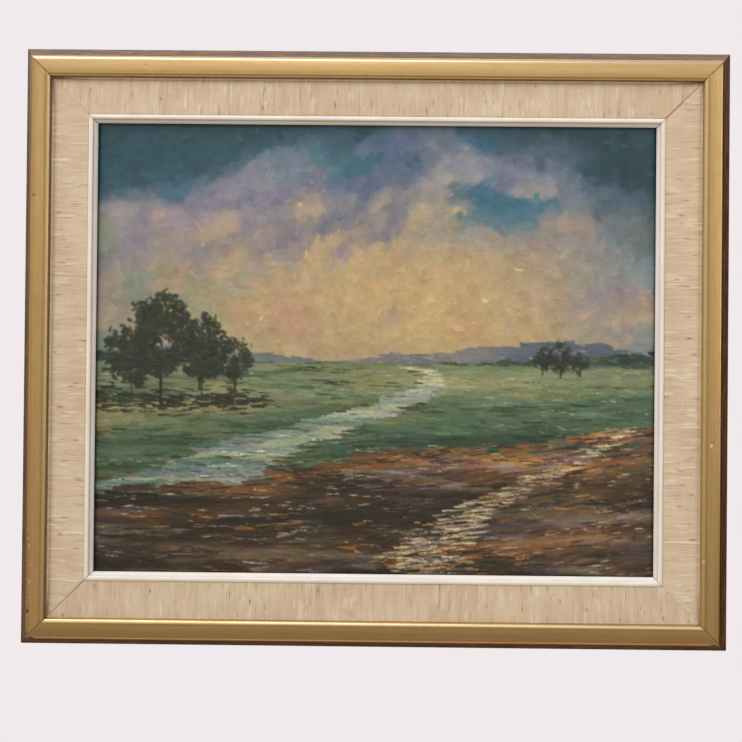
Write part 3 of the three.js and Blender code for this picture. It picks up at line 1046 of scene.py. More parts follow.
@dataclass
class ClothLiner:
    """The liner: four mitred wooden rails with slub silk glued over their faces, threads across them."""

    inner: float = 7.4
    outer: float = 46.2
    shown_to: float = 40.4
    inner_gilt: float = 40.1
    face: float = 24.45
    back: float = 1.0
    lip: float = 19.3
    rebate: float = 9.5
    turn: float = 0.8
    gap: float = 0.05
    pitch: float = 1.75
    step: float = 0.55
    relief: float = 0.09
    slub: float = 0.34
    most: float = 24.92
    tip: float = 0.35
    knots: int = 16
    uneven: float = 0.38
    husk_every: float = 9.0

    def section(self) -> tuple[Array, Array]:
        """Draws the liner's section.

        Returns:
            A ring of (out, depth) points, and which of them are cloth.
        """
        middle = (self.inner + self.turn, self.face - self.turn)
        rebate = [(self.rebate, self.lip), (self.rebate, self.back)]
        wood = [*rebate, (self.outer, self.back), (self.outer, self.face)]
        cloth = ring_of(
            line((self.shown_to, self.face), (middle[0], self.face), 17),
            arc(middle, self.turn, 90, 180, 3),
            line((self.inner, middle[1]), (self.inner, self.lip), 2),
        )
        is_cloth = np.array([False] * len(wood) + [True] * len(cloth))
        return np.vstack([wood, cloth]), is_cloth

    def threads(self, along: Array, out: Array, rng: Dice) -> tuple[Array, Array]:
        """Lays the weft threads across a rail.

        Args:
            along: Where each point is along the rail, in millimetres.
            out: Where it is out from the sight edge.
            rng: The seeded source of the threads' unevenness.

        Returns:
            The height of the cloth at each point, in millimetres, and its shade.
        """
        reach = float(np.abs(along).max()) + 2 * self.pitch
        widths = self.pitch * rng.lognormal(0.0, self.uneven, int(2.6 * reach / self.pitch) + 8)
        edges = np.cumsum(widths) - reach - self.pitch
        number = np.clip(np.searchsorted(edges, along), 1, len(edges) - 1)
        t = (along - edges[number - 1]) / (edges[number] - edges[number - 1])
        round_back = np.sqrt(np.clip(1.0 - (2.0 * t - 1.0) ** 2, 0.0, 1.0))

        place = np.clip(out / self.outer, 0.0, 1.0) * (self.knots - 1)
        low = np.minimum(place.astype(int), self.knots - 2)
        rest = place - low
        swell = soft_noise(rng, (len(edges), self.knots), (1.6, 0.6), 2)
        here = swell[number, low] * (1 - rest) + swell[number, low + 1] * rest
        stain = soft_noise(rng, (len(edges), self.knots), (3.0, 0.5), 2)
        tint = stain[number, low] * (1 - rest) + stain[number, low + 1] * rest
        height = self.relief * round_back * (0.75 + 0.28 * here) * np.sqrt(widths[number] / self.pitch)
        thick = smooth_step(0.95, 1.8, here) * smooth_step(0.3, 0.7, round_back)
        height = height + self.slub * thick
        # Each thread's back is painted lighter, a painted highlight, and thick slubs are painted lighter
        # still.
        shade = 0.42 + 0.06 * tint + 0.06 * (round_back - 0.7) + 0.26 * thick
        return height, shade

    def rail(self, picture: Picture, side: Side, rng: Dice) -> bpy.types.Object:
        """Builds one rail, its ends cut along the mitres.

        Args:
            picture: Where the picture is.
            side: The side of the frame.
            rng: The seeded source of the threads' unevenness.

        Returns:
            The rail.
        """
        half_length = picture.halves(side)[0]
        ring, is_cloth = self.section()
        reach = half_length + self.outer - self.gap - self.tip
        along = np.linspace(-reach, reach, round(2 * reach / self.step))[:, None]
        least = np.maximum(np.abs(along) - half_length + self.gap, 0.0)
        out = np.maximum(ring[:, 0], least)
        start = np.maximum(self.inner + self.turn, least)
        on_face = is_cloth & (ring[:, 1] > self.face - 1e-6)
        part = (ring[:, 0] - self.inner - self.turn) / (self.shown_to - self.inner - self.turn)
        spread = start + part * (np.maximum(self.shown_to, start + 0.02) - start)
        out = np.where(on_face, spread, out)
        out = np.minimum(out, self.outer)
        along = np.tile(along, (1, len(ring)))
        depth = np.tile(ring[:, 1], (len(along), 1))

        # The threads stand up on the face alone, and the cloth dips where a mitre has opened.
        height, shade = self.threads(along, out, rng)
        from_mitre = half_length + out - self.gap - np.abs(along)
        open_end = np.where(along > 0, *WEAR_AND_LIGHT[side].seams[::-1])
        press = 1.0 - open_end * smooth_step(0.9, 0.0, from_mitre)
        edge_press = np.where(ring[:, 0] > self.inner + self.turn, 1.0, 0.45)
        raised = np.where(is_cloth, (height - 0.5 * self.relief) * edge_press, 0.0)
        # A painted shadow on the cloth beside the gilt, strongest on the top and left.
        shade_at_gilt_edge = WEAR_AND_LIGHT[side].painted_shade * np.exp(-((self.inner_gilt - out) / 2.8) ** 1.7)
        face_part = is_cloth & (ring[:, 1] > self.lip + 1.5)
        sink = np.where(face_part, 0.3 * (1.0 - press), 0.0)
        towards_viewer = np.where(ring[:, 1] > self.face - 0.5, raised, 0.0)
        depth = np.minimum(depth + towards_viewer - sink, self.most)

        # Bits of husk lie along the threads, dirt in the opened mitres, and a painted shadow on the cloth
        # beside the gilt.
        husk = np.zeros_like(out)
        for _ in range(round(reach / self.husk_every)):
            x, w = rng.uniform(-reach, reach), rng.uniform(self.inner, self.shown_to)
            wide, long = rng.uniform(0.35, 0.8), rng.uniform(1.0, 3.4)
            bit = np.exp(-(((along - x) / wide) ** 2) - ((out - w) / long) ** 2)
            husk = np.maximum(husk, bit * rng.uniform(0.35, 0.95))
        husk = np.maximum(husk, open_end * np.exp(-from_mitre / 0.45))
        husk = np.maximum(husk, np.where(on_face, shade_at_gilt_edge, 0.0))

        points = picture.place(side, along, out, depth)
        wood = [int(i in (0, 1, len(ring) - 1)) for i in range(len(ring))]
        facts = rail_facts(along, out, depth, thread=shade - 0.5, husk=husk)
        shell = Shell(points, swept(len(along), len(ring)), [*wood * (len(along) - 1), 1, 1], facts)
        piece = shell.build(f"cloth_liner_{side.label}", [SILK, FRAME_WOOD], 60.0)
        return stand_in(piece, f"liner_rail_{side.label}")


@dataclass
class PaintedSlip:
    """The slip: four mitred white rails with a bead, a groove and a slope down to a thin sight edge."""

    width: float = 7.15
    back: float = 16.8
    flange: float = 19.0
    flange_out: float = 9.2
    edge: float = 20.9
    edge_thick: float = 1.0
    undercut: float = 2.4
    bead: float = 3.95
    bead_depth: float = 26.15
    quirk: float = 23.6
    gap: float = 0.15
    step: float = 5.0
    uneven: float = 0.03
    eased: float = 0.22
    mitre_dirt: float = 0.5
    near_mitre: Sequence[float] = (0.1, 0.25, 0.5, 0.9)

    def section(self) -> Array:
        """Draws the slip's section.

        Returns:
            A ring of (out, depth) points, from under the sight edge.
        """
        groove = self.width - self.bead
        thin = self.edge - self.edge_thick
        foot = self.bead_depth - 1.3
        top = self.bead_depth + 0.4
        bead = [(self.width, foot), (self.width - 0.5, top - 0.5), (groove + 0.7, top), (groove, foot + 0.4)]
        quirk = self.quirk
        slope = [(groove - 0.45, quirk), (1.7, quirk - 0.3), (0.5, quirk - 1.4), (0.1, self.edge)]
        return ring_of(
            line((self.undercut, thin), (self.undercut, self.back), 2),
            line((self.undercut, self.back), (self.flange_out, self.back), 2),
            line((self.flange_out, self.back), (self.flange_out, self.flange), 1),
            line((self.flange_out, self.flange), (self.width, self.flange), 1),
            line((self.width, self.flange), (self.width, foot), 3),
            curve(bead, 14),
            line((groove, foot + 0.4), (groove - 0.2, quirk + 0.15), 3),
            arc((groove - 0.35, quirk + 0.15), 0.15, 0, -90, 2),
            curve(slope, 10),
            arc((0.3, self.edge - 0.15), 0.3, 150, 180, 2),
            line((0.0, self.edge - 0.15), (0.0, thin + 0.1), 1),
            line((0.1, thin), (self.undercut, thin), 1),
        )

    def rail(self, picture: Picture, side: Side, rng: Dice) -> bpy.types.Object:
        """Builds one rail.

        Args:
            picture: Where the picture is.
            side: The side of the frame.
            rng: The seeded source of the paint's unevenness.

        Returns:
            The rail.
        """
        half_length = picture.halves(side)[0]
        ring = self.section()
        reach = half_length + self.width
        inside = np.linspace(-1.0, 1.0, round(2 * reach / self.step))
        share = ring_places(inside, reach, self.near_mitre)
        out = np.tile(ring[:, 0], (share.size, 1))
        depth = np.tile(ring[:, 1], (share.size, 1))
        along = share[:, None] * (half_length + out - self.gap)
        from_end = (1.0 - np.abs(share))[:, None] * reach
        front = smooth_step(self.flange + 0.5, self.edge, depth)
        depth = depth + soft_noise(rng, out.shape, (1.5, 8.0), 2) * self.uneven * front
        depth = depth - self.eased * np.exp(-from_end / 0.25) * front
        groove = self.width - self.bead
        # Painted shade lies in the groove, most on the top and left, and under the thin sight edge; the
        # mitres show as dirty lines.
        painted_shade = 0.12 + 0.45 * WEAR_AND_LIGHT[side].painted_shade
        grime = painted_shade * bump_at(out, groove - 0.4, 0.9) * (depth < self.quirk + 1.0)
        grime = np.maximum(grime, self.mitre_dirt * np.exp(-from_end / 0.35) * front)
        grime = np.maximum(grime, 0.8 * (depth < self.edge - 0.4) * (out < self.undercut))
        facts = rail_facts(along, out, depth, grime=grime)
        shell = Shell(picture.place(side, along, out, depth), swept(share.size, len(ring)), [], facts)
        piece = shell.build(f"white_slip_{side.label}", [SLIP_PAINT], 38.0)
        return stand_in(piece, f"slip_rail_{side.label}")


# ---- the canvas ----


@dataclass
class StretchedLinen:
    """The linen: stretched over the bars' rims, down their sides and folded onto their backs."""

    margin_x: float = 5.0
    margin_z: float = 3.45
    front: float = 16.1
    back: float = 1.05
    thick: float = 0.6
    turnover: float = 14.0
    bend: float = 0.7
    spacing: float = 12.0
    clear: float = 0.05
    ringed: float = 190.0
    slack: float = 0.06

    def halves(self, picture: Picture) -> tuple[float, float]:
        """Returns half the canvas's width and half its height, in millimetres."""
        return picture.half_width + self.margin_x, picture.half_height + self.margin_z

    def profile(self) -> list[Point]:
        """Draws how the cloth runs, from the turnover's end to near the middle.

        Returns:
            Points (out, depth), measured from the canvas's outer edge.
        """
        side = -self.clear
        return ring_of(
            line((-self.turnover, self.back), (-self.bend, self.back), 4),
            arc((side - self.bend, self.back + self.bend), self.bend, -90, 0, 4),
            line((side, self.back + self.bend), (side, self.front - self.bend), 4),
            arc((side - self.bend, self.front - self.bend), self.bend, 0, 90, 4),
            line((side - self.bend, self.front), (-self.ringed, self.front), 14),
        ).tolist()

    def rings(self, picture: Picture, profile: Sequence[Point], rng: Dice) -> Array:
        """Runs a profile round the four sides.

        Args:
            picture: Where the picture is.
            profile: The points (out, depth) that each ring passes through.
            rng: The seeded source of the cloth's slackness.

        Returns:
            The points, in metres, ring by ring.
        """
        half_x, half_z = self.halves(picture)
        per_x, per_z = round(2 * half_x / self.spacing), round(2 * half_z / self.spacing)
        across = np.linspace(-1, 1, per_x, endpoint=False)
        up = np.linspace(-1, 1, per_z, endpoint=False)
        unit_x = np.concatenate([across, np.ones(per_z), -across, -np.ones(per_z)])
        unit_z = np.concatenate([-np.ones(per_x), up, np.ones(per_x), -up])
        slack = soft_noise(rng, (len(profile), unit_x.size), (7.0, 1.5), 2)
        rings = []
        for (out, depth), loose in zip(profile, slack):
            free = out < -self.turnover - 4.0 and depth > self.front - 2.0
            sunk = depth - np.abs(self.slack * loose) * free
            rings.append(picture.points(unit_x * (half_x + out), unit_z * (half_z + out), sunk))
        return np.array(rings)

    def build(self, picture: Picture, rng: Dice) -> bpy.types.Object:
        """Builds the linen as one closed cloth of its real thickness.

        Args:
            picture: Where the picture is.
            rng: The seeded source of its slackness.

        Returns:
            The linen.
        """
        outer = self.profile()
        path = np.array(outer)
        run = np.gradient(path, axis=0)
        run /= np.linalg.norm(run, axis=1)[:, None]
        inner = path + self.thick * np.column_stack([-run[:, 1], run[:, 0]])
        inner[:, 0] = np.maximum(inner[:, 0], -self.ringed)
        points = np.vstack([self.rings(picture, outer, rng), self.rings(picture, inner.tolist(), rng)])
        count = points.shape[1]
        near = np.arange(len(outer) * count).reshape(-1, count)
        far = near + near.size
        faces: list[list[int]] = []
        for grid, way in ((near, 1), (far, -1)):
            faces += [*tube(grid)[:, ::way].tolist(), grid[-1, ::way].tolist()]
        rim = np.stack([near[0], far[0], np.roll(far[0], -1), np.roll(near[0], -1)], -1)
        faces += rim.tolist()
        piece = Shell(points.reshape(-1, 3), faces).build("stretched_linen", [LINEN], 50.0)
        return stand_in(piece, "canvas")


# ---- the paint ----


@dataclass(frozen=True)
class Touch:
    """How a brush is used for one pass of strokes.

    Attributes:
        length: Mean length of a stroke, in millimetres.
        width: Mean width of a stroke, in millimetres.
        load: The least and most paint on the brush, from 0, dry, to 1.
        body: Thickness of the paint that it lays, in millimetres.
        pick_up: How much of the wet paint below mixes in.
        bend: Spread of the strokes' curve.
        vary: Spread of the strokes' lightness.
        turn: Spread of the strokes' direction, in radians.
    """

    length: float
    width: float
    load: tuple[float, float] = (0.6, 0.95)
    body: float = 0.2
    pick_up: float = 0.2
    bend: float = 0.2
    vary: float = 0.03
    turn: float = 0.1


class WetPaint:
    """The paint on the canvas as two fine grids, its colour (sRGB) and its thickness (millimetres)."""

    CELL = 0.5
    MARKS = 12
    MARK_SHAPE = (48, 128)

    def __init__(self, rng: Dice, width: float, height: float) -> None:
        """Primes the grids and cuts the bristle patterns.

        Args:
            rng: The seeded source of random values.
            width: Width of the canvas, in millimetres.
            height: Height of the canvas, in millimetres.
        """
        self.rng = rng
        self.shape = (round(height / self.CELL), round(width / self.CELL))
        self.colour = np.zeros((*self.shape, 3), np.float32)
        self.body = np.zeros(self.shape, np.float32)
        self.tooth = smooth_step(-2.0, 2.0, soft_noise(rng, self.shape, (1.2, 1.2), 1)).astype(np.float32)
        marks = [soft_noise(rng, self.MARK_SHAPE, (18.0, 1.1), 2) for _ in range(self.MARKS)]
        self.marks = smooth_step(-1.6, 1.6, np.array(marks)).astype(np.float32)

    def noise(self, size_x: float, size_y: float, layers: int = 3) -> Array:
        """Returns noise over the canvas, with patches about this large in millimetres."""
        return soft_noise(self.rng, self.shape, (0.5 * size_x / self.CELL, 0.5 * size_y / self.CELL), layers)

    def at(self, grid: Array, x: Array, y: Array) -> Array:
        """Reads a grid.

        Args:
            grid: The grid, with the canvas's cells.
            x: Places across, in millimetres from the left.
            y: Places down, in millimetres from the top.

        Returns:
            The values there.
        """
        row = np.clip((y / self.CELL).astype(int), 0, self.shape[0] - 1)
        column = np.clip((x / self.CELL).astype(int), 0, self.shape[1] - 1)
        return grid[row, column]

    def between(self, grid: Array, x: Array, y: Array) -> Array:
        """Reads a grid between its cells.

        Args:
            grid: The grid.
            x: Places across, in millimetres from the left.
            y: Places down, in millimetres from the top.

        Returns:
            The values there.
        """
        column = np.clip(x / self.CELL - 0.5, 0, grid.shape[1] - 1.001)
        row = np.clip(y / self.CELL - 0.5, 0, grid.shape[0] - 1.001)
        i, j = row.astype(int), column.astype(int)
        a, b = row - i, column - j
        upper = grid[i, j] * (1 - b) + grid[i, j + 1] * b
        lower = grid[i + 1, j] * (1 - b) + grid[i + 1, j + 1] * b
        return upper * (1 - a) + lower * a

    def blurred(self, grid: Array, reach: float) -> Array:
        """Returns a grid blurred over reach, in millimetres."""
        return blurred(grid, reach / self.CELL, reach / self.CELL)

    def soften(self, reach: float, share: float, bottom: float) -> None:
        """Goes over the wet paint with a dry soft brush.

        Args:
            reach: How far it drags the paint, in millimetres.
            share: How much of the paint moves.
            bottom: The lowest place, in millimetres.
        """
        rows = round(bottom / self.CELL)
        for band in range(3):
            wet = self.colour[:rows, :, band]
            self.colour[:rows, :, band] += share * (self.blurred(wet, reach) - wet)
        self.body[:rows] += 0.5 * (self.blurred(self.body[:rows], reach) - self.body[:rows])

    def cells(self, middle: float, reach: float, axis: int) -> tuple[int, int]:
        """Returns the first row or column within reach of a place, and the first one past it."""
        ends = ((middle - reach) / self.CELL, (middle + reach) / self.CELL)
        return tuple(min(max(round(end), 0), self.shape[axis]) for end in ends)

    def stroke(
        self,
        touch: Touch,
        place: Array,
        length: float,
        width: float,
        angle: float,
        colour: Array,
        load: float,
        bend: float,
        mark: int,
    ) -> None:
        """Lays one stroke.

        Args:
            touch: How the brush is used.
            place: Its middle, in millimetres from the top left corner.
            length: Its length, in millimetres.
            width: Its width, in millimetres.
            angle: Its direction, in radians, turning down to the right.
            colour: The colour on the brush, as sRGB values.
            load: How much paint is on the brush, from 0 to 1.
            bend: How far the stroke curves.
            mark: Which bristle pattern it leaves.
        """
        c, s = math.cos(angle), math.sin(angle)
        aside = abs(bend) * width + 0.5
        top, bottom = self.cells(place[1], 0.5 * (length * abs(s) + width * abs(c)) + aside, 0)
        left, right = self.cells(place[0], 0.5 * (length * abs(c) + width * abs(s)) + aside, 1)
        if top >= bottom or left >= right:
            return
        dy = ((np.arange(top, bottom, dtype=np.float32) + 0.5) * self.CELL - place[1])[:, None]
        dx = ((np.arange(left, right, dtype=np.float32) + 0.5) * self.CELL - place[0])[None, :]
        u = (dx * c + dy * s) * (2.0 / length)
        v = (dy * c - dx * s) * (2.0 / width) - bend * (u * u - 0.4)
        off = np.abs(v)
        inside = (off < 1.0) & (np.abs(u) < 1.0)
        if not inside.any():
            return
        rows, columns = self.MARK_SHAPE
        row = np.clip((v + 1.0) * 0.5 * rows, 0, rows - 1).astype(np.intp)
        column = np.clip((u + 1.0) * 0.5 * columns, 0, columns - 1).astype(np.intp)
        bristle = self.marks[mark][row, column]
        start = np.minimum(1.0, (u + 1.0) * (0.5 * length / max(1.0, 0.35 * width)))
        lift = np.clip((1.0 - u) * 1.3, 0.0, 1.0)
        side = np.minimum(1.0, (1.0 - off) * (0.55 * width))
        cover = load * start * side * (0.35 + 0.65 * lift)
        window = (slice(top, bottom), slice(left, right))
        wet = cover * 1.9 - 0.75 * (1.0 - bristle) - 0.45 * self.tooth[window] - 0.4 * (1.0 - load)
        alpha = np.where(inside, np.clip(wet * 2.2, 0.0, 1.0), 0.0)
        under = self.colour[window]
        below = (under * alpha[..., None]).sum(axis=(0, 1)) / (alpha.sum() + 1e-6)
        paint = colour * (1.0 - touch.pick_up) + below * touch.pick_up
        streaked = np.clip(paint * (0.92 + 0.16 * bristle[..., None]), 0.0, 1.0)
        self.colour[window] = under + (streaked - under) * alpha[..., None]
        ridge = 0.7 * bump_at(off, 0.82, 0.16) + 0.8 * bump_at(u, 0.86, 0.12)
        laid = touch.body * (0.25 + 0.75 * bristle + ridge)
        self.body[window] = self.body[window] * (1.0 - 0.45 * alpha) + laid * alpha


def colour_ramp(value: Array, stops: Stops) -> Array:
    """Colours an array of values.

    Args:
        value: The values.
        stops: The colours of some values, in order.

    Returns:
        The sRGB colours, one more dimension than the values.
    """
    places = [place for place, _ in stops]
    colours = np.array([srgb(colour) for _, colour in stops])
    return np.stack([np.interp(value, places, colours[:, band]) for band in range(3)], -1).astype(np.float32)


def tinted(base: Array, colour: Array | str, share: Array) -> Array:
    """Returns an image with share of a colour, or of another image, laid over it."""
    over = srgb(colour) if isinstance(colour, str) else colour
    return base + (over - base) * share[..., None]


@dataclass
class EveningValley:
    """The picture: a broad river valley with trees under an evening sky, in quick oil strokes.

    Places are in millimetres from the top left corner of the canvas.
    """

    width: float = 508.0
    height: float = 406.4
    horizon: float = 216.0
    seed: int = 7

    def __post_init__(self) -> None:
        """Primes the canvas and prepares the measures that the passes share."""
        self.rng = np.random.default_rng(self.seed)
        self.wet = WetPaint(self.rng, self.width, self.height)
        rows, columns = self.wet.shape
        cell = self.wet.CELL
        self.x = np.tile((np.arange(columns) + 0.5) * cell, (rows, 1)).astype(np.float32)
        self.y = np.tile(((np.arange(rows) + 0.5) * cell)[:, None], (1, columns)).astype(np.float32)
        self.over = self.x / self.width
        self.down = self.y / self.horizon
        self.near = (self.y - self.horizon) / (self.height - self.horizon)

    # -- working with the brush

    def lay(
        self,
        touch: Touch,
        count: int,
        span: tuple[float, float],
        colours: Array | str,
        where: Array | None = None,
        angle: Array | float = 0.0,
    ) -> None:
        """Lays one pass of strokes over a band of the canvas.

        Args:
            touch: How the brush is used.
            count: How many places are tried.
            span: The highest and the lowest place.
            colours: An image to take the colours from, or hex colours to choose from.
            where: The chance, from 0 to 1, that a place is kept; all are kept without it.
            angle: The direction of the strokes, in radians, or an image of it.
        """
        x = self.rng.uniform(-5.0, self.width + 5.0, count)
        y = self.rng.uniform(*span, count)
        if where is not None:
            kept = self.wet.at(where, x, y) > self.rng.uniform(0.0, 1.0, count)
            x, y = x[kept], y[kept]
        angles = self.wet.at(angle, x, y) if isinstance(angle, Array) else angle
        self.work(touch, np.column_stack([x, y]), colours, angles)

    def work(self, touch: Touch, places: Array, colours: Array | str, angle: Array | float = 0.0) -> None:
        """Lays a stroke at each place.

        Args:
            touch: How the brush is used.
            places: The middles of the strokes, one row each.
            colours: An image to take the colours from, or hex colours to choose from.
            angle: The direction of the strokes, in radians.
        """
        rng, count = self.rng, len(places)
        if isinstance(colours, str):
            choice = np.array([srgb(colour) for colour in colours.split()])
            loaded = choice[rng.integers(0, len(choice), count)]
        else:
            loaded = self.wet.at(colours, places[:, 0], places[:, 1])
        varied = loaded + rng.normal(0, touch.vary, (count, 1)) + rng.normal(0, 0.4 * touch.vary, (count, 3))
        loaded = np.clip(varied, 0.02, 0.98).astype(np.float32)
        lengths = touch.length * rng.uniform(0.6, 1.35, count)
        widths = touch.width * rng.uniform(0.7, 1.3, count)
        loads = rng.uniform(*touch.load, count)
        bends = rng.normal(0, touch.bend, count)
        marks = rng.integers(0, self.wet.MARKS, count)
        angles = angle + rng.normal(0, touch.turn, count)
        for stroke in zip(places, lengths, widths, angles, loaded, loads, bends, marks):
            self.wet.stroke(touch, *stroke)

    def drift(self, ground: Array, size_x: float, size_y: float, share: float) -> Array:
        """Returns the chance of a stroke where drifts of one colour lie on the ground."""
        return share * ground * smooth_step(0.2, 1.3, self.wet.noise(size_x, size_y, 2))

    # -- what is painted

    def sky_colours(self) -> Array:
        """Chooses the colours of the sky: teal aloft, a bank of violet cloud, and a low warm gap.

        Returns:
            An sRGB image.
        """
        noise, over, down = self.wet.noise, self.over, self.down
        drift = noise(150, 60)
        height = down + 0.10 * drift - 0.10 * (over - 0.5)
        aloft = [(0.0, "1d4a60"), (0.16, "32647a"), (0.30, "607a94"), (0.44, "8e8a9b"), (0.58, "b09e8e")]
        sky = colour_ramp(height, [*aloft, (0.76, "c9b083"), (0.9, "c4ad83"), (1.0, "b0a98e")])
        patch = noise(60, 36)
        low = smooth_step(0.3, 0.6, down)
        sky = tinted(sky, "b39a92", 0.6 * smooth_step(0.3, 1.6, patch) * low)
        sky = tinted(sky, "97a09a", 0.6 * smooth_step(0.4, 1.8, -patch) * low)
        flank = smooth_step(0.34, 0.0, over) + smooth_step(0.74, 1.02, over)
        dusk = colour_ramp(over, [(0.0, "7c8f89"), (1.0, "7c91a4")])
        sky = tinted(sky, dusk, 0.95 * flank * smooth_step(0.3, 0.55, down))
        glow = bump_at(over, 0.56, 0.27) * bump_at(down, 0.72, 0.28)
        sky = tinted(sky, "dcbf86", 0.85 * glow)
        open_sky = smooth_step(0.2, 1.3, noise(70, 34) + 1.2 * (over - 0.5) - 1.5 * (down - 0.25))
        sky = tinted(sky, "2f6a8a", 0.7 * open_sky * smooth_step(0.62, 0.3, down))
        bank = bump_at(down - (0.60 - 0.46 * over), 0.0, 0.20)
        billow = noise(60, 34, 4) + 1.7 * bank - 0.6
        fall, run = np.gradient(self.wet.blurred(billow, 3.0))
        lit = smooth_step(-0.03, 0.04, -(0.75 * run + 0.35 * fall))
        shade = colour_ramp(down + 0.15 * noise(40, 20), [(0.1, "5d6689"), (0.6, "8a84a0"), (1.0, "a3959a")])
        warmth = down + 0.5 * glow - 0.25 * flank
        light = colour_ramp(warmth, [(0.1, "9b9ab0"), (0.4, "bea78e"), (0.8, "dcbd8a")])
        sky = tinted(sky, tinted(shade, light, lit), 0.85 * smooth_step(0.0, 1.0, billow))
        rosy = smooth_step(0.9, 1.9, noise(38, 24)) * smooth_step(0.2, 0.5, down)
        sky = tinted(sky, "cf9f83", 0.55 * rosy)
        dark = smooth_step(0.3, 1.5, 0.8 * noise(100, 50) + 1.0 * (0.40 - over) + 4.2 * (0.24 - down))
        sky = tinted(sky, "104356", 0.85 * dark)
        corner = smooth_step(0.72, 1.08, over + 0.9 * (0.3 - down) + 0.06 * drift)
        return tinted(sky, "10394a", 0.8 * corner * smooth_step(0.75, 0.5, down))

    def paint_sky(self) -> None:
        """Brushes in the sky in dabs, softens them and touches in lights and cool notes."""
        sky = self.sky_colours() * (1.0 - 0.08 * smooth_step(0.3, 0.6, self.down))[..., None]
        self.wet.colour[:] = sky * 0.9
        flow = 0.6 * self.wet.noise(80, 60, 2) - 0.6
        passes = (
            (1500, 6.0, Touch(28, 14, (0.8, 1.0), 0.16, 0.1, 0.25, 0.02, 0.5)),
            (2600, 4.0, Touch(19, 9, (0.5, 0.9), 0.2, 0.25, 0.25, 0.026, 0.6)),
            (1700, 2.0, Touch(13, 6.5, (0.3, 0.7), 0.26, 0.25, 0.25, 0.028, 0.7)),
        )
        for number, (count, past, touch) in enumerate(passes):
            if number == 2:
                self.wet.soften(1.6, 0.7, self.horizon + 6.0)
            self.lay(touch, count, (-5.0, self.horizon + past), sky, angle=flow)
        lightness = self.wet.blurred(sky.mean(-1), 1.5)
        warm = smooth_step(0.52, 0.70, lightness)
        cool = smooth_step(0.50, 0.36, lightness)
        small = Touch(8, 3.6, (0.35, 0.8), 0.55, 0.35, 0.25, 0.03, 0.7)
        for count, where, colours in (
            (240, 0.8 * warm, "e6d2a6 dfbf8e d6a67f e3c77f"),
            (160, 0.5 * (1 - cool) * (1 - warm), "a79fb4 9a8fa8 a6a0a6"),
            (200, 0.9 * cool, "2c5c7c 3d5290 2a6278 4d6048"),
        ):
            self.lay(small, count, (0.0, 0.9 * self.horizon), colours, where, -0.5)

    def ridge(self, foot: float, bumps: Sequence[tuple[float, float, float]], rough: float) -> Array:
        """Returns the height of a skyline at each column.

        Args:
            foot: How far its lowest parts stand above the horizon.
            bumps: Each hill's place across the picture (0 to 1), its reach, and its height.
            rough: How uneven its line is.

        Returns:
            The skyline, measured down from the top.
        """
        across = self.over[0]
        rise = sum(height * bump_at(across, at, reach) for at, reach, height in bumps)
        return self.horizon - foot - rise + rough * soft_noise(self.rng, (8, across.size), (24, 1), 4)[0]

    def paint_hills(self) -> None:
        """Brushes in the far violet hills and the nearer green ones."""
        noise, over = self.wet.noise, self.over
        far = self.ridge(1.0, [(0.84, 0.17, 21), (0.60, 0.12, 8), (0.14, 0.22, 13)], 0.8)
        near = self.ridge(-2.0, [(1.04, 0.26, 17), (0.66, 0.07, 4), (0.30, 0.10, 5), (-0.05, 0.20, 12)], 1.1)
        far_hues = [(0.0, "4c6266"), (0.35, "6b7778"), (0.6, "7f7f82"), (0.75, "5f6679"), (1.0, "465566")]
        near_hues = [(0.0, "20382c"), (0.3, "374f3b"), (0.55, "536445"), (0.75, "364b35"), (1.0, "1f3328")]
        for skyline, hues, past, lights, length in (
            (far, colour_ramp(over + 0.1 * noise(60, 20), far_hues), 3.0, "8c929c 988c96", 14.0),
            (near, colour_ramp(over + 0.15 * noise(40, 12), near_hues), 8.0, "5f6e46 777c4a 83905f", 8.0),
        ):
            foot = self.horizon + past
            body = ((self.y > skyline + 1.4) & (self.y < foot)).astype(np.float32)
            coat = Touch(length, 2.6, (0.9, 1.0), 0.2, 0.05, 0.15, 0.018, 0.1)
            self.lay(coat, 4600, (self.horizon - 45.0, foot), hues, body)
            fleck = Touch(0.6 * length, 1.5, (0.4, 0.7), 0.25, 0.3, 0.2, 0.02, 0.25)
            self.lay(fleck, 900, (self.horizon - 30.0, foot), lights, 0.6 * body, 0.1)

    def paint_meadows(self) -> None:
        """Brushes in the level fields behind and beside the river."""
        noise, near, horizon, over = self.wet.noise, self.near, self.horizon, self.over
        far = [(0.0, "808f70"), (0.10, "5a765a"), (0.22, "6f8d72"), (0.36, "44654f")]
        hues = [*far, (0.5, "557259"), (0.7, "34513f"), (1.0, "2d4232"), (1.5, "3a3425")]
        meadow = colour_ramp(near * 1.7 + 0.16 * noise(120, 9), hues)
        meadow = tinted(meadow, "7f7c48", 0.5 * smooth_step(0.4, 1.6, noise(80, 8)))
        meadow = tinted(meadow, "24402f", 0.6 * smooth_step(0.7, 1.7, noise(90, 6)))
        sunlit = bump_at(over, 0.62, 0.22) * bump_at(near, 0.08, 0.10)
        meadow = tinted(meadow, "b5af7f", 0.6 * sunlit)
        stubble = smooth_step(0.5, 0.1, over) * bump_at(near, 0.20 + 0.03 * noise(90, 9), 0.07)
        meadow = 0.93 * tinted(meadow, "bfa674", 0.95 * stubble)
        land = self.y > horizon + 3
        self.wet.colour[land] = meadow[land]
        for count, span, touch in (
            (1700, (horizon + 4, self.height), Touch(40, 7, (0.9, 1.0), 0.12, 0.0, 0.1, 0.02, 0.04)),
            (2000, (horizon + 1, horizon + 150), Touch(34, 4.0, (0.8, 1.0), 0.16, 0.1, 0.1, 0.03, 0.04)),
            (4200, (horizon + 1, horizon + 150), Touch(16, 2.0, (0.6, 0.95), 0.25, 0.15, 0.15, 0.05, 0.06)),
        ):
            self.lay(touch, count, span, meadow)
        span = (horizon + 3, horizon + 95)
        hedge = smooth_step(0.2, 1.2, noise(70, 5, 2))
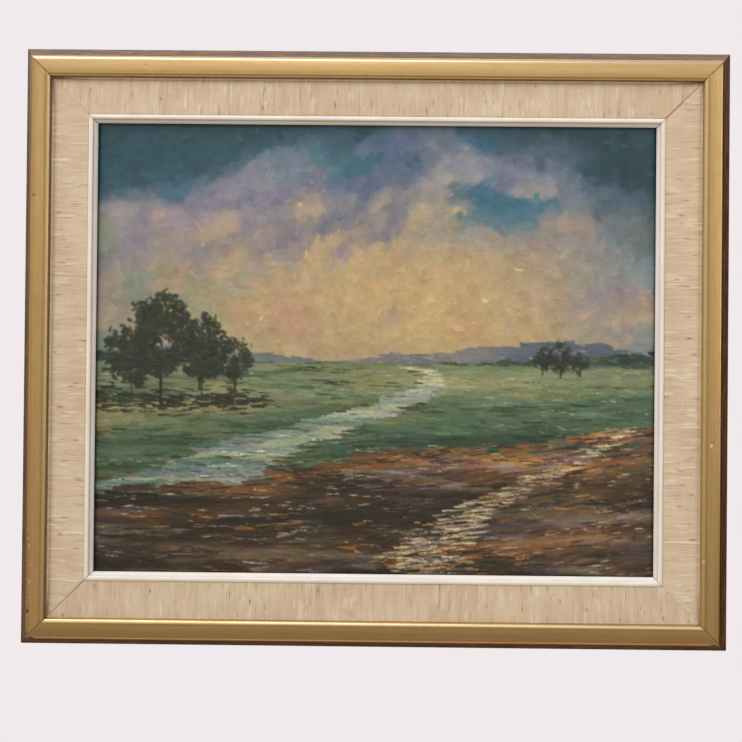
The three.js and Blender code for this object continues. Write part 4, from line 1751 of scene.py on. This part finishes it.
        touch = Touch(18, 1.6, (0.7, 1.0), 0.3, 0.1, 0.15, 0.03, 0.05)
        self.lay(touch, 1500, span, "1f3829 1c2f22 294030 2e3a22", hedge)
        pale = smooth_step(0.0, 1.2, noise(60, 5, 2))
        touch = Touch(10, 1.2, (0.5, 0.95), 0.5, 0.1)
        self.lay(touch, 1500, span, "b9bd92 a3ad7c cfcba2 8f9c6c c3c8a8", pale)

    def paint_river(self) -> None:
        """Brushes in the river, its dark banks and the light on it."""
        noise, near, horizon = self.wet.noise, self.near, self.horizon
        reach = np.clip(near, 0.0, 1.0)
        bend = 0.075 * np.sin(5.4 * np.sqrt(reach + 0.002) - 0.3) + 0.02 * np.sin(14 * reach)
        middle = 0.53 + bend - 0.85 * reach**1.5
        away = np.abs(self.over - middle) / (0.010 + 0.28 * reach**1.35) + 0.14 * noise(40, 5)
        water = smooth_step(1.0, 0.8, away) * (near > 0.015) * (near < 0.97)
        hues = [(0.0, "cbc6a4"), (0.15, "a6b39c"), (0.4, "7f968a"), (0.8, "5a7471"), (1.3, "475e60")]
        river = colour_ramp(near * 1.4 + 0.12 * noise(90, 5), hues)
        river = tinted(river, "cfc6a2", 0.5 * smooth_step(0.3, 1.5, noise(50, 4)))
        river = tinted(river, "8d8698", 0.4 * smooth_step(0.5, 1.6, noise(60, 6)))
        bottom = self.height
        touch = Touch(16, 2.6, (0.75, 1.0), 0.25, 0.08, 0.1, 0.035, 0.03)
        self.lay(touch, 12000, (horizon + 2, bottom), river, water)
        banks = bump_at(away, 1.0, 0.12) * (near > 0.03)
        touch = Touch(13, 1.8, (0.7, 1.0), 0.3, 0.05, 0.2, 0.03, 0.06)
        self.lay(touch, 3800, (horizon + 4, bottom), "243528 2c3322 3d2f20 1f2a22 55402a", banks)
        gleam = 0.9 * water * smooth_step(0.0, 1.2, noise(60, 4, 2))
        touch = Touch(11, 1.3, (0.55, 1.0), 0.65, 0.05, 0.15, 0.03, 0.04)
        self.lay(touch, 4600, (horizon + 3, bottom), "e6e4d2 d6dac8 efe9d6 c3cfc0 b5c3b8", gleam)
        ripple = 0.8 * water * smooth_step(0.0, 1.2, noise(50, 4, 2))
        touch = Touch(12, 1.3, (0.55, 0.95), 0.3, 0.1, 0.15, 0.03, 0.04)
        self.lay(touch, 2600, (horizon + 14, bottom), "35504f 3d5a52 2a4245 52656a", ripple)

    def paint_heath(self) -> None:
        """Brushes in the dark heath of the foreground, with its russet, lilac and straw notes."""
        noise, near, over = self.wet.noise, self.near, self.over
        edge = 0.61 - 0.31 * over**1.3 + 0.035 * noise(50, 10) + 0.04 * np.sin(9 * over)
        depth = near - edge
        ground = smooth_step(-0.03, 0.05, depth + 0.03 * noise(40, 4, 2))
        lively = ground * (0.22 + 0.78 * smooth_step(0.1, 0.6, over))
        shaded = [(0.0, "201812"), (0.25, "302218"), (0.45, "46301f")]
        hues = [*shaded, (0.62, "5d3f26"), (0.8, "7a4f2a"), (1.0, "976a36")]
        heath = colour_ramp(0.56 + 0.24 * noise(90, 10) - 0.5 * np.clip(depth, 0, 1), hues)
        heath = heath * (0.62 + 0.6 * smooth_step(0.0, 0.85, over))[..., None]
        for hue, share, least, patch in (
            ("61566a", 0.5, 0.5, (60, 9)),
            ("4a5336", 0.45, 0.6, (50, 8)),
            ("8c7a5c", 0.5, 0.6, (70, 7)),
        ):
            heath = tinted(heath, hue, share * smooth_step(least, 1.7, noise(*patch)))
        tilt = -0.16 * np.clip(over, 0.0, 1.0) ** 1.2
        span = (self.horizon + 25, self.height + 4)
        rim = np.exp(-((depth - 0.03) / 0.06) ** 2)
        stem = Touch(20, 1.7, (0.6, 1.0), 0.4, 0.08, 0.12, 0.03, 0.08)
        short, low = replace(stem, length=11), replace(stem, length=11, width=1.5)
        pale, tuft = replace(stem, length=12, width=1.4), replace(stem, length=9, width=1.5)
        passes = (
            (4200, ground, heath, Touch(30, 6.0, (0.85, 1.0), 0.16, 0.1, 0.12, 0.02, 0.08)),
            (7500, ground, heath, Touch(17, 2.4, (0.6, 0.95), 0.25, 0.15, 0.15, 0.04, 0.1)),
            (3000, self.drift(lively, 70, 6, 0.9), "a9622a b87b35 8a4f24 c79a52 7c4422", stem),
            (2400, self.drift(lively, 60, 6, 0.8), "8a7c98 786a84 a294a8 6f4a58 9c8a8e", stem),
            (3600, self.drift(ground, 60, 6, 1.0), "17120e 1e1712 261c14 120f0c", stem),
            (1500, self.drift(lively, 50, 6, 0.6), "66704a 4f5a3a 7d8258", short),
            (2600, 0.8 * rim, "1b1611 2a2016 35281a 15120e", stem),
            (1500, 0.55 * rim, "cfc8b0 b4b3a4 d9d2bd 9a98a0", pale),
            (900, 0.5 * rim, "b57a34 c9974a a8622a", low),
            (2200, self.drift(lively, 50, 6, 0.8), "cfc4a6 d8c79c b9b29a a8a49c", tuft),
        )
        for count, where, colours, touch in passes:
            self.lay(touch, count, span, colours, where, tilt)

    def paint_track(self) -> None:
        """Brushes in a pale sandy track that winds up through the heath on the right."""
        near, span = self.near, (self.horizon + 40, self.height + 4)
        reach = np.clip(near, 0.0, 1.0)
        middle = 0.80 + 0.16 * np.sin(4.6 * reach + 0.6) - 0.05 * reach
        away = (self.over - middle) / (0.012 + 0.075 * reach**1.5) + 0.2 * self.wet.noise(24, 5)
        sand = smooth_step(1.0, 0.6, np.abs(away)) * (near > 0.30)
        ruts = sand * (bump_at(np.abs(away), 0.45, 0.14) > 0.5)
        verge = bump_at(np.abs(away), 1.15, 0.2) * (near > 0.32)
        touch = Touch(15, 1.9, (0.65, 1.0), 0.4, 0.08, 0.15, 0.04, 0.05)
        for count, where, colours in (
            (2600, verge, "17130f 221a13 2e2217"),
            (3600, sand, "a8957c 8f8078 b9a88c 7d7078 c4a878"),
            (1500, ruts, "43352a 554337 33291f"),
            (2200, 0.7 * sand, "e3dac4 d3c8b6 c9b6b0 e2cf9f"),
        ):
            self.lay(touch, count, span, colours, where, -0.1)

    def paint_trees(self) -> None:
        """Brushes in the stand of trees on the left, a far group on the right, and their shadows."""
        horizon = self.horizon
        bushes = smooth_step(185, 120, self.x) * bump_at(self.y, horizon + 34, 7)
        low = Touch(13, 2.6, (0.65, 1.0), 0.35, 0.05, 0.2, 0.03, 0.1)
        self.lay(low, 2400, (horizon + 22, horizon + 56), "17231b 1f291f 26241a 2e2e1e", bushes)
        trees = (
            (128, 24, 44, 15), (36, 34, 66, 21), (63, 31, 90, 27), (98, 29, 72, 21),
            (404, 10, 26, 9), (419, 12, 33, 11), (437, 11, 22, 8),
        )
        for x, foot, height, spread in trees:
            self.paint_tree(x, horizon + foot, height, spread)
        grass = smooth_step(170, 130, self.x) * bump_at(self.y, horizon + 38, 7)
        blade = Touch(6, 1.3, (0.45, 0.9), 0.4, 0.15, 0.2, 0.03, 0.5)
        self.lay(blade, 500, (horizon + 28, horizon + 52), "7b7a46 94884f 4b5637", grass, -1.2)

    def paint_tree(self, x: float, foot: float, height: float, spread: float) -> None:
        """Brushes in one tree.

        Args:
            x: Where it stands.
            foot: Where its trunk meets the ground.
            height: Its height.
            spread: Half the width of its crown.
        """
        rng, scale = self.rng, height / 90
        crown = foot - 0.60 * height
        trunk = Touch(0.5 * height, 1.8 * scale + 1.0, (0.95, 1.0), 0.3, 0.05, 0.12, 0.015, 0.04)
        places = np.column_stack([x + rng.normal(0, 0.5, 2), np.full(2, foot - 0.25 * height)])
        self.work(trunk, places, "201913 2b211a", -math.pi / 2)
        leaves = (
            (20, 0.16, -9.0, "17221b 1d2922 253020 1a2320", (6.5, 3.6), (0.65, 1.0), 0.3),
            (7, 0.13, 0.0, "313e27 404829 364533", (4.5, 2.4), (0.45, 0.9), 0.4),
            (5, 0.10, 0.35, "86783e a08741 7a7b42 b39a5c", (3.2, 1.7), (0.5, 0.9), 0.5),
        )
        for _ in range(int(16 + 22 * scale)):
            turn, reach = rng.uniform(0, 2 * math.pi), math.sqrt(rng.uniform(0, 1))
            right, down = reach * math.cos(turn), reach * math.sin(turn)
            middle = np.array([x + spread * right, crown + 0.36 * height * down])
            lit = 0.6 * right - 0.5 * down
            for count, strewn, least, colours, (length, width), load, body in leaves:
                if lit > least:
                    touch = Touch(length * scale + 1.3, width * scale + 0.7, load, body, turn=1.5)
                    places = middle + rng.normal(0, strewn * spread, (count, 2))
                    self.work(touch, places + [max(least, 0.0) * 4, 0.0], colours)

    def paint(self) -> WetPaint:
        """Paints the whole picture, from the sky forwards.

        Returns:
            The wet paint.
        """
        self.paint_sky()
        self.paint_hills()
        self.paint_meadows()
        self.paint_river()
        self.paint_heath()
        self.paint_track()
        self.paint_trees()
        return self.wet


@dataclass
class PaintFilm:
    """The dried paint: two thin skins on the front of the linen, the sky and the land below it."""

    base: float = 16.12
    bed: float = 0.16
    most: float = 0.95
    edge: float = 5.4
    margin: float = 0.15
    columns: int = 420
    rows: int = 228
    parting: float = 214.0
    soft_body: float = 0.3
    soft_colour: float = 0.28
    # Colour of the painted shadow on the margin that runs under the slip.
    slip_shadow_colour: str = "0e0c0a"

    def build(self, picture: Picture, linen: StretchedLinen, wet: WetPaint) -> list[bpy.types.Object]:
        """Builds both skins from the painted grids.

        Args:
            picture: Where the picture is.
            linen: The linen that carries the paint.
            wet: The paint, as grids.

        Returns:
            The skins.
        """
        width, height = (2 * half for half in linen.halves(picture))
        body = wet.blurred(wet.body, self.soft_body)
        bands = [wet.blurred(wet.colour[..., band], self.soft_colour) for band in range(3)]
        pieces = []
        for name, top, bottom in (
            ("oil_paint_sky", self.margin, self.parting),
            ("oil_paint_land", self.parting, height - self.margin),
        ):
            x = np.linspace(self.margin, width - self.margin, self.columns + 1)
            y = np.linspace(top, bottom, self.rows + 1)
            across, down = np.meshgrid(x, y)
            thick = np.clip(wet.between(body, across, down), 0.0, self.most)
            inset = np.minimum.reduce([across, width - across, down, height - down])
            sides = np.minimum(across, width - across) - linen.margin_x
            beyond = np.minimum(sides, np.minimum(down, height - down) - linen.margin_z) + self.edge
            under_slip = smooth_step(self.edge - 0.6, self.edge + 1.5, inset)
            relief = self.bed + thick * (0.25 + 0.75 * under_slip)
            colour = np.stack([wet.between(band, across, down) for band in bands], -1)
            # The margin under the slip is painted near black, a painted shadow in the gap behind the slip's
            # edge.
            under_slip_shade = 0.93 * smooth_step(self.edge + 0.3, self.edge - 0.5, beyond)
            colour = tinted(colour, self.slip_shadow_colour, under_slip_shade)
            x, z = across - width / 2, height / 2 - down
            front = picture.points(x, z, self.base + relief)
            back = picture.points(x, z, np.full(x.shape, self.base))
            pieces.append(self.skin(name, front, back, thick, colour))
        return pieces

    def skin(self, name: str, front: Array, back: Array, thick: Array, colour: Array) -> bpy.types.Object:
        """Builds one closed skin of paint.

        Args:
            name: Its name.
            front: The points of its front.
            back: The points behind them, on the linen.
            thick: The thickness of the strokes, in millimetres, as a grid.
            colour: The sRGB colours, as an image.

        Returns:
            The skin.
        """
        grid = np.arange(thick.size).reshape(thick.shape)
        quads = np.stack([grid[:-1, :-1], grid[1:, :-1], grid[1:, 1:], grid[:-1, 1:]], -1).reshape(-1, 4)
        rim = np.concatenate([grid[0], grid[1:, -1], grid[-1, -2::-1], grid[-2:0:-1, 0]])
        behind = np.arange(rim.size) + grid.size
        walls = np.stack([rim, np.roll(rim, -1), np.roll(behind, -1), behind], -1)
        points = np.vstack([front, back[rim]])
        rgba = np.ones((len(points), 4))
        rgba[: grid.size, :3] = to_linear(np.clip(colour.reshape(-1, 3), 0.0, 1.0))
        rgba[grid.size :, :3] = rgba[rim, :3]
        body = np.concatenate([thick.ravel(), thick.ravel()[rim]]) / self.most
        faces = [*quads.tolist(), *walls.tolist(), behind[::-1].tolist()]
        shell = Shell(points, faces, [], {"paint": rgba, "thick": body})
        return stand_in(shell.build(name, [OIL], 75.0), "canvas")


# ---- the back ----


@dataclass
class BackFittings:
    """The stretcher, its keys, the plates that hold it and the hanger: CAD pieces that are only dressed."""

    nodes: dict[str, bpy.types.Object]

    def dress(self) -> None:
        """Gives every piece its finish and reports it."""
        for side in Side:
            self.finish(f"stretcher_bar_{side.label}", PINE_X if side.level else PINE_Z)
            self.finish(f"retaining_plate_{side.label}", ZINC)
            self.finish(f"retaining_screw_{side.label}", ZINC)
        for number in range(1, 9):
            self.finish(f"stretcher_key_{number}", BEECH)
        for name in ("hanger", "hanger_pin_1", "hanger_pin_2"):
            self.finish(name, BRASS)

    def finish(self, name: str, finish: Finish) -> None:
        """Puts a finish on one CAD piece.

        Args:
            name: The piece's node.
            finish: Its finish.
        """
        piece = self.nodes[name]
        for slot in piece.material_slots:
            slot.material = finish.make()
        report(piece)


# ---- the studio ----


@dataclass
class Studio:
    """A plain pale room that curves from floor to wall, soft light from above, and the camera.

    The camera's places are in millimetres from the middle of the picture, on the moulding's back. The
    sizes of the room and the lamps are in metres.
    """

    camera_at: tuple[float, float, float] = (41.75, -1000.0, 52.19)
    aim_at: tuple[float, float, float] = (35.29, 0.0, 60.40)
    roll: float = 0.5335
    sensor: float = 36.0
    lens: float = 53.363
    clip: tuple[float, float] = (0.01, 50.0)
    shift: tuple[float, float] = (-0.0597, -0.1197)
    floor_drop: float = 1.15
    floor_radius: float = 2.4
    cove: float = 1.1
    wall_top: float = 2.6
    sides: int = 96
    pale: str = "f1eaec"
    dim: str = "1e1812"
    strength: float = 2.08
    sky: Stops = (
        (0.000, "d8bda6"),
        (0.067, "a08d7c"),
        (0.199, "6f665a"),
        (0.289, "7a7265"),
        (0.354, "847d6f"),
        (0.413, "8f8878"),
        (0.474, "a29b89"),
        (0.587, "b5b2a5"),
        (0.680, "bfbdb5"),
        (0.740, "bfbeb8"),
        (0.808, "bcbbb6"),
        (0.933, "b2b2b0"),
    )

    def build(self, picture: Picture) -> None:
        """Builds the room, the lights and the camera.

        Args:
            picture: Where the picture is.
        """
        middle = Vector(picture.middle)
        self.place_camera(middle)
        self.raise_room(middle)
        self.light(middle)

    def place_camera(self, middle: Vector) -> None:
        """Puts the camera a little right of the picture's middle and above it, slightly tilted.

        Args:
            middle: The middle of the picture.
        """
        data = bpy.data.cameras.new("camera")
        data.sensor_fit, data.sensor_width, data.lens = "AUTO", self.sensor, self.lens
        data.shift_x, data.shift_y = self.shift
        data.clip_start, data.clip_end = self.clip
        camera = put_in_scene("camera", data)
        place = middle + Vector(self.camera_at) * MM
        look = middle + Vector(self.aim_at) * MM - place
        camera.location = place
        camera.rotation_mode = "QUATERNION"
        tilt = Quaternion((0.0, 0.0, 1.0), math.radians(self.roll))
        camera.rotation_quaternion = look.to_track_quat("-Z", "Y") @ tilt
        bpy.context.scene.camera = camera

    def raise_room(self, middle: Vector) -> None:
        """Builds the floor, cove and wall as one round shell, seen by the camera alone.

        Args:
            middle: The middle of the picture.
        """
        floor = middle.z - self.floor_drop
        wall = self.floor_radius + self.cove
        profile = ring_of(
            line((0.25, 0.0), (self.floor_radius, 0.0), 6),
            arc((self.floor_radius, self.cove), self.cove, -90, 0, 12),
            line((wall, self.cove), (wall, self.wall_top), 4),
        )
        turns = np.linspace(0.0, 2 * math.pi, self.sides, endpoint=False)
        points = [[middle.x, middle.y, floor]]
        for radius, height in profile:
            for turn in turns:
                x, y = radius * math.cos(turn), radius * math.sin(turn)
                points.append([middle.x + x, middle.y + y, floor + height])
        grid = 1 + np.arange(len(profile) * self.sides).reshape(-1, self.sides)
        faces = [[0, first, second] for first, second in zip(grid[0].tolist(), np.roll(grid[0], -1).tolist())]
        faces += tube(grid).tolist()
        mesh = bpy.data.meshes.new("pale_room")
        mesh.from_pydata(points, [], faces)
        mesh.materials.append(self.room_paint())
        mesh.shade_smooth()
        room = put_in_scene("pale_room", mesh)
        room.visible_glossy = False
        room.visible_diffuse = False
        room.visible_shadow = False

    def room_paint(self) -> bpy.types.Material:
        """Makes the room's pale matt paint, as an even glow that no shadow falls on.

        Returns:
            The paint.
        """
        made = bpy.data.materials.new("pale_matt_paint")
        node = bare_tree(made)
        node("OutputMaterial", {"Surface": node("Emission", {"Color": linear(self.pale)})})
        return made

    def light(self, middle: Vector) -> None:
        """Lights the picture: a sky in bands, a large soft lamp over it and a weak one at its right.

        Args:
            middle: The middle of the picture.
        """
        world = bpy.data.worlds.new("soft_light")
        bpy.context.scene.world = world
        node = bare_tree(world)
        way = node("TexCoord")
        split = node("SeparateXYZ", {"Vector": way}).node
        height = node("MapRange", {"Value": split.outputs["Z"], "From Min": -1.0})
        sky = node("ValToRGB", {0: height}, stops=self.sky)
        back = node("MapRange", {"Value": split.outputs["Y"], "From Min": -0.3, "From Max": 0.4})
        low = node("MapRange", {"Value": split.outputs["Z"], "From Min": 0.55, "From Max": 0.1})
        dim = node("Math", {0: back, 1: low}, operation="MULTIPLY")
        dim = node("Math", {0: dim, 1: 0.8}, operation="MULTIPLY")
        right = node("MapRange", {"Value": split.outputs["X"], "From Min": 0.6, "From Max": 0.95})
        dim = node("Math", {0: right, 1: 0.8, 2: dim}, operation="MULTIPLY_ADD")
        slant = node("MapRange", {"Value": split.outputs["X"], "From Min": -1.0, "To Max": 0.14})
        dim = node("Math", {0: slant, 1: dim}, operation="ADD")
        sky = node("Mix", {"Factor": dim, "A": sky, "B": linear(self.dim)}, data_type="RGBA")
        glow = node("Background", {"Color": sky, "Strength": self.strength})
        node("OutputWorld", {"Surface": glow})

        for name, size, power, place in (
            ("overhead_softbox", (3.0, 0.9), 24.0, (-0.8, -0.75, 1.75)),
            ("side_reflector", (0.45, 1.2), 3.0, (1.45, -1.25, 0.25)),
        ):
            lamp = bpy.data.lights.new(name, "AREA")
            lamp.shape, (lamp.size, lamp.size_y) = "RECTANGLE", size
            lamp.energy, lamp.color = power, linear("fffaf4")[:3]
            box = put_in_scene(name, lamp)
            box.location = middle + Vector(place)
            box.rotation_mode = "QUATERNION"
            box.rotation_quaternion = (middle - box.location).to_track_quat("-Z", "Y")


# ---- all of it ----


def main() -> None:
    """Builds the framed painting and its studio."""
    logging.basicConfig(level=logging.INFO, format="%(message)s")
    for stray in list(bpy.data.objects):
        bpy.data.objects.remove(stray)
    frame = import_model()
    bpy.context.scene.view_settings.view_transform = "Standard"

    picture = Picture.from_frame()
    Studio().build(picture)

    gilt, liner, slip = GiltMoulding(), ClothLiner(), PaintedSlip()
    for side in Side:
        rng = np.random.default_rng(100 + side.value)
        for moulding in (gilt, liner, slip):
            report(moulding.rail(picture, side, rng))

    linen = StretchedLinen()
    cloth = linen.build(picture, np.random.default_rng(31))
    report(cloth)
    films = PaintFilm().build(picture, linen, EveningValley().paint())
    for film in films:
        report(film)

    BackFittings(frame["nodes"]).dress()


if __name__ == "__main__":
    main()
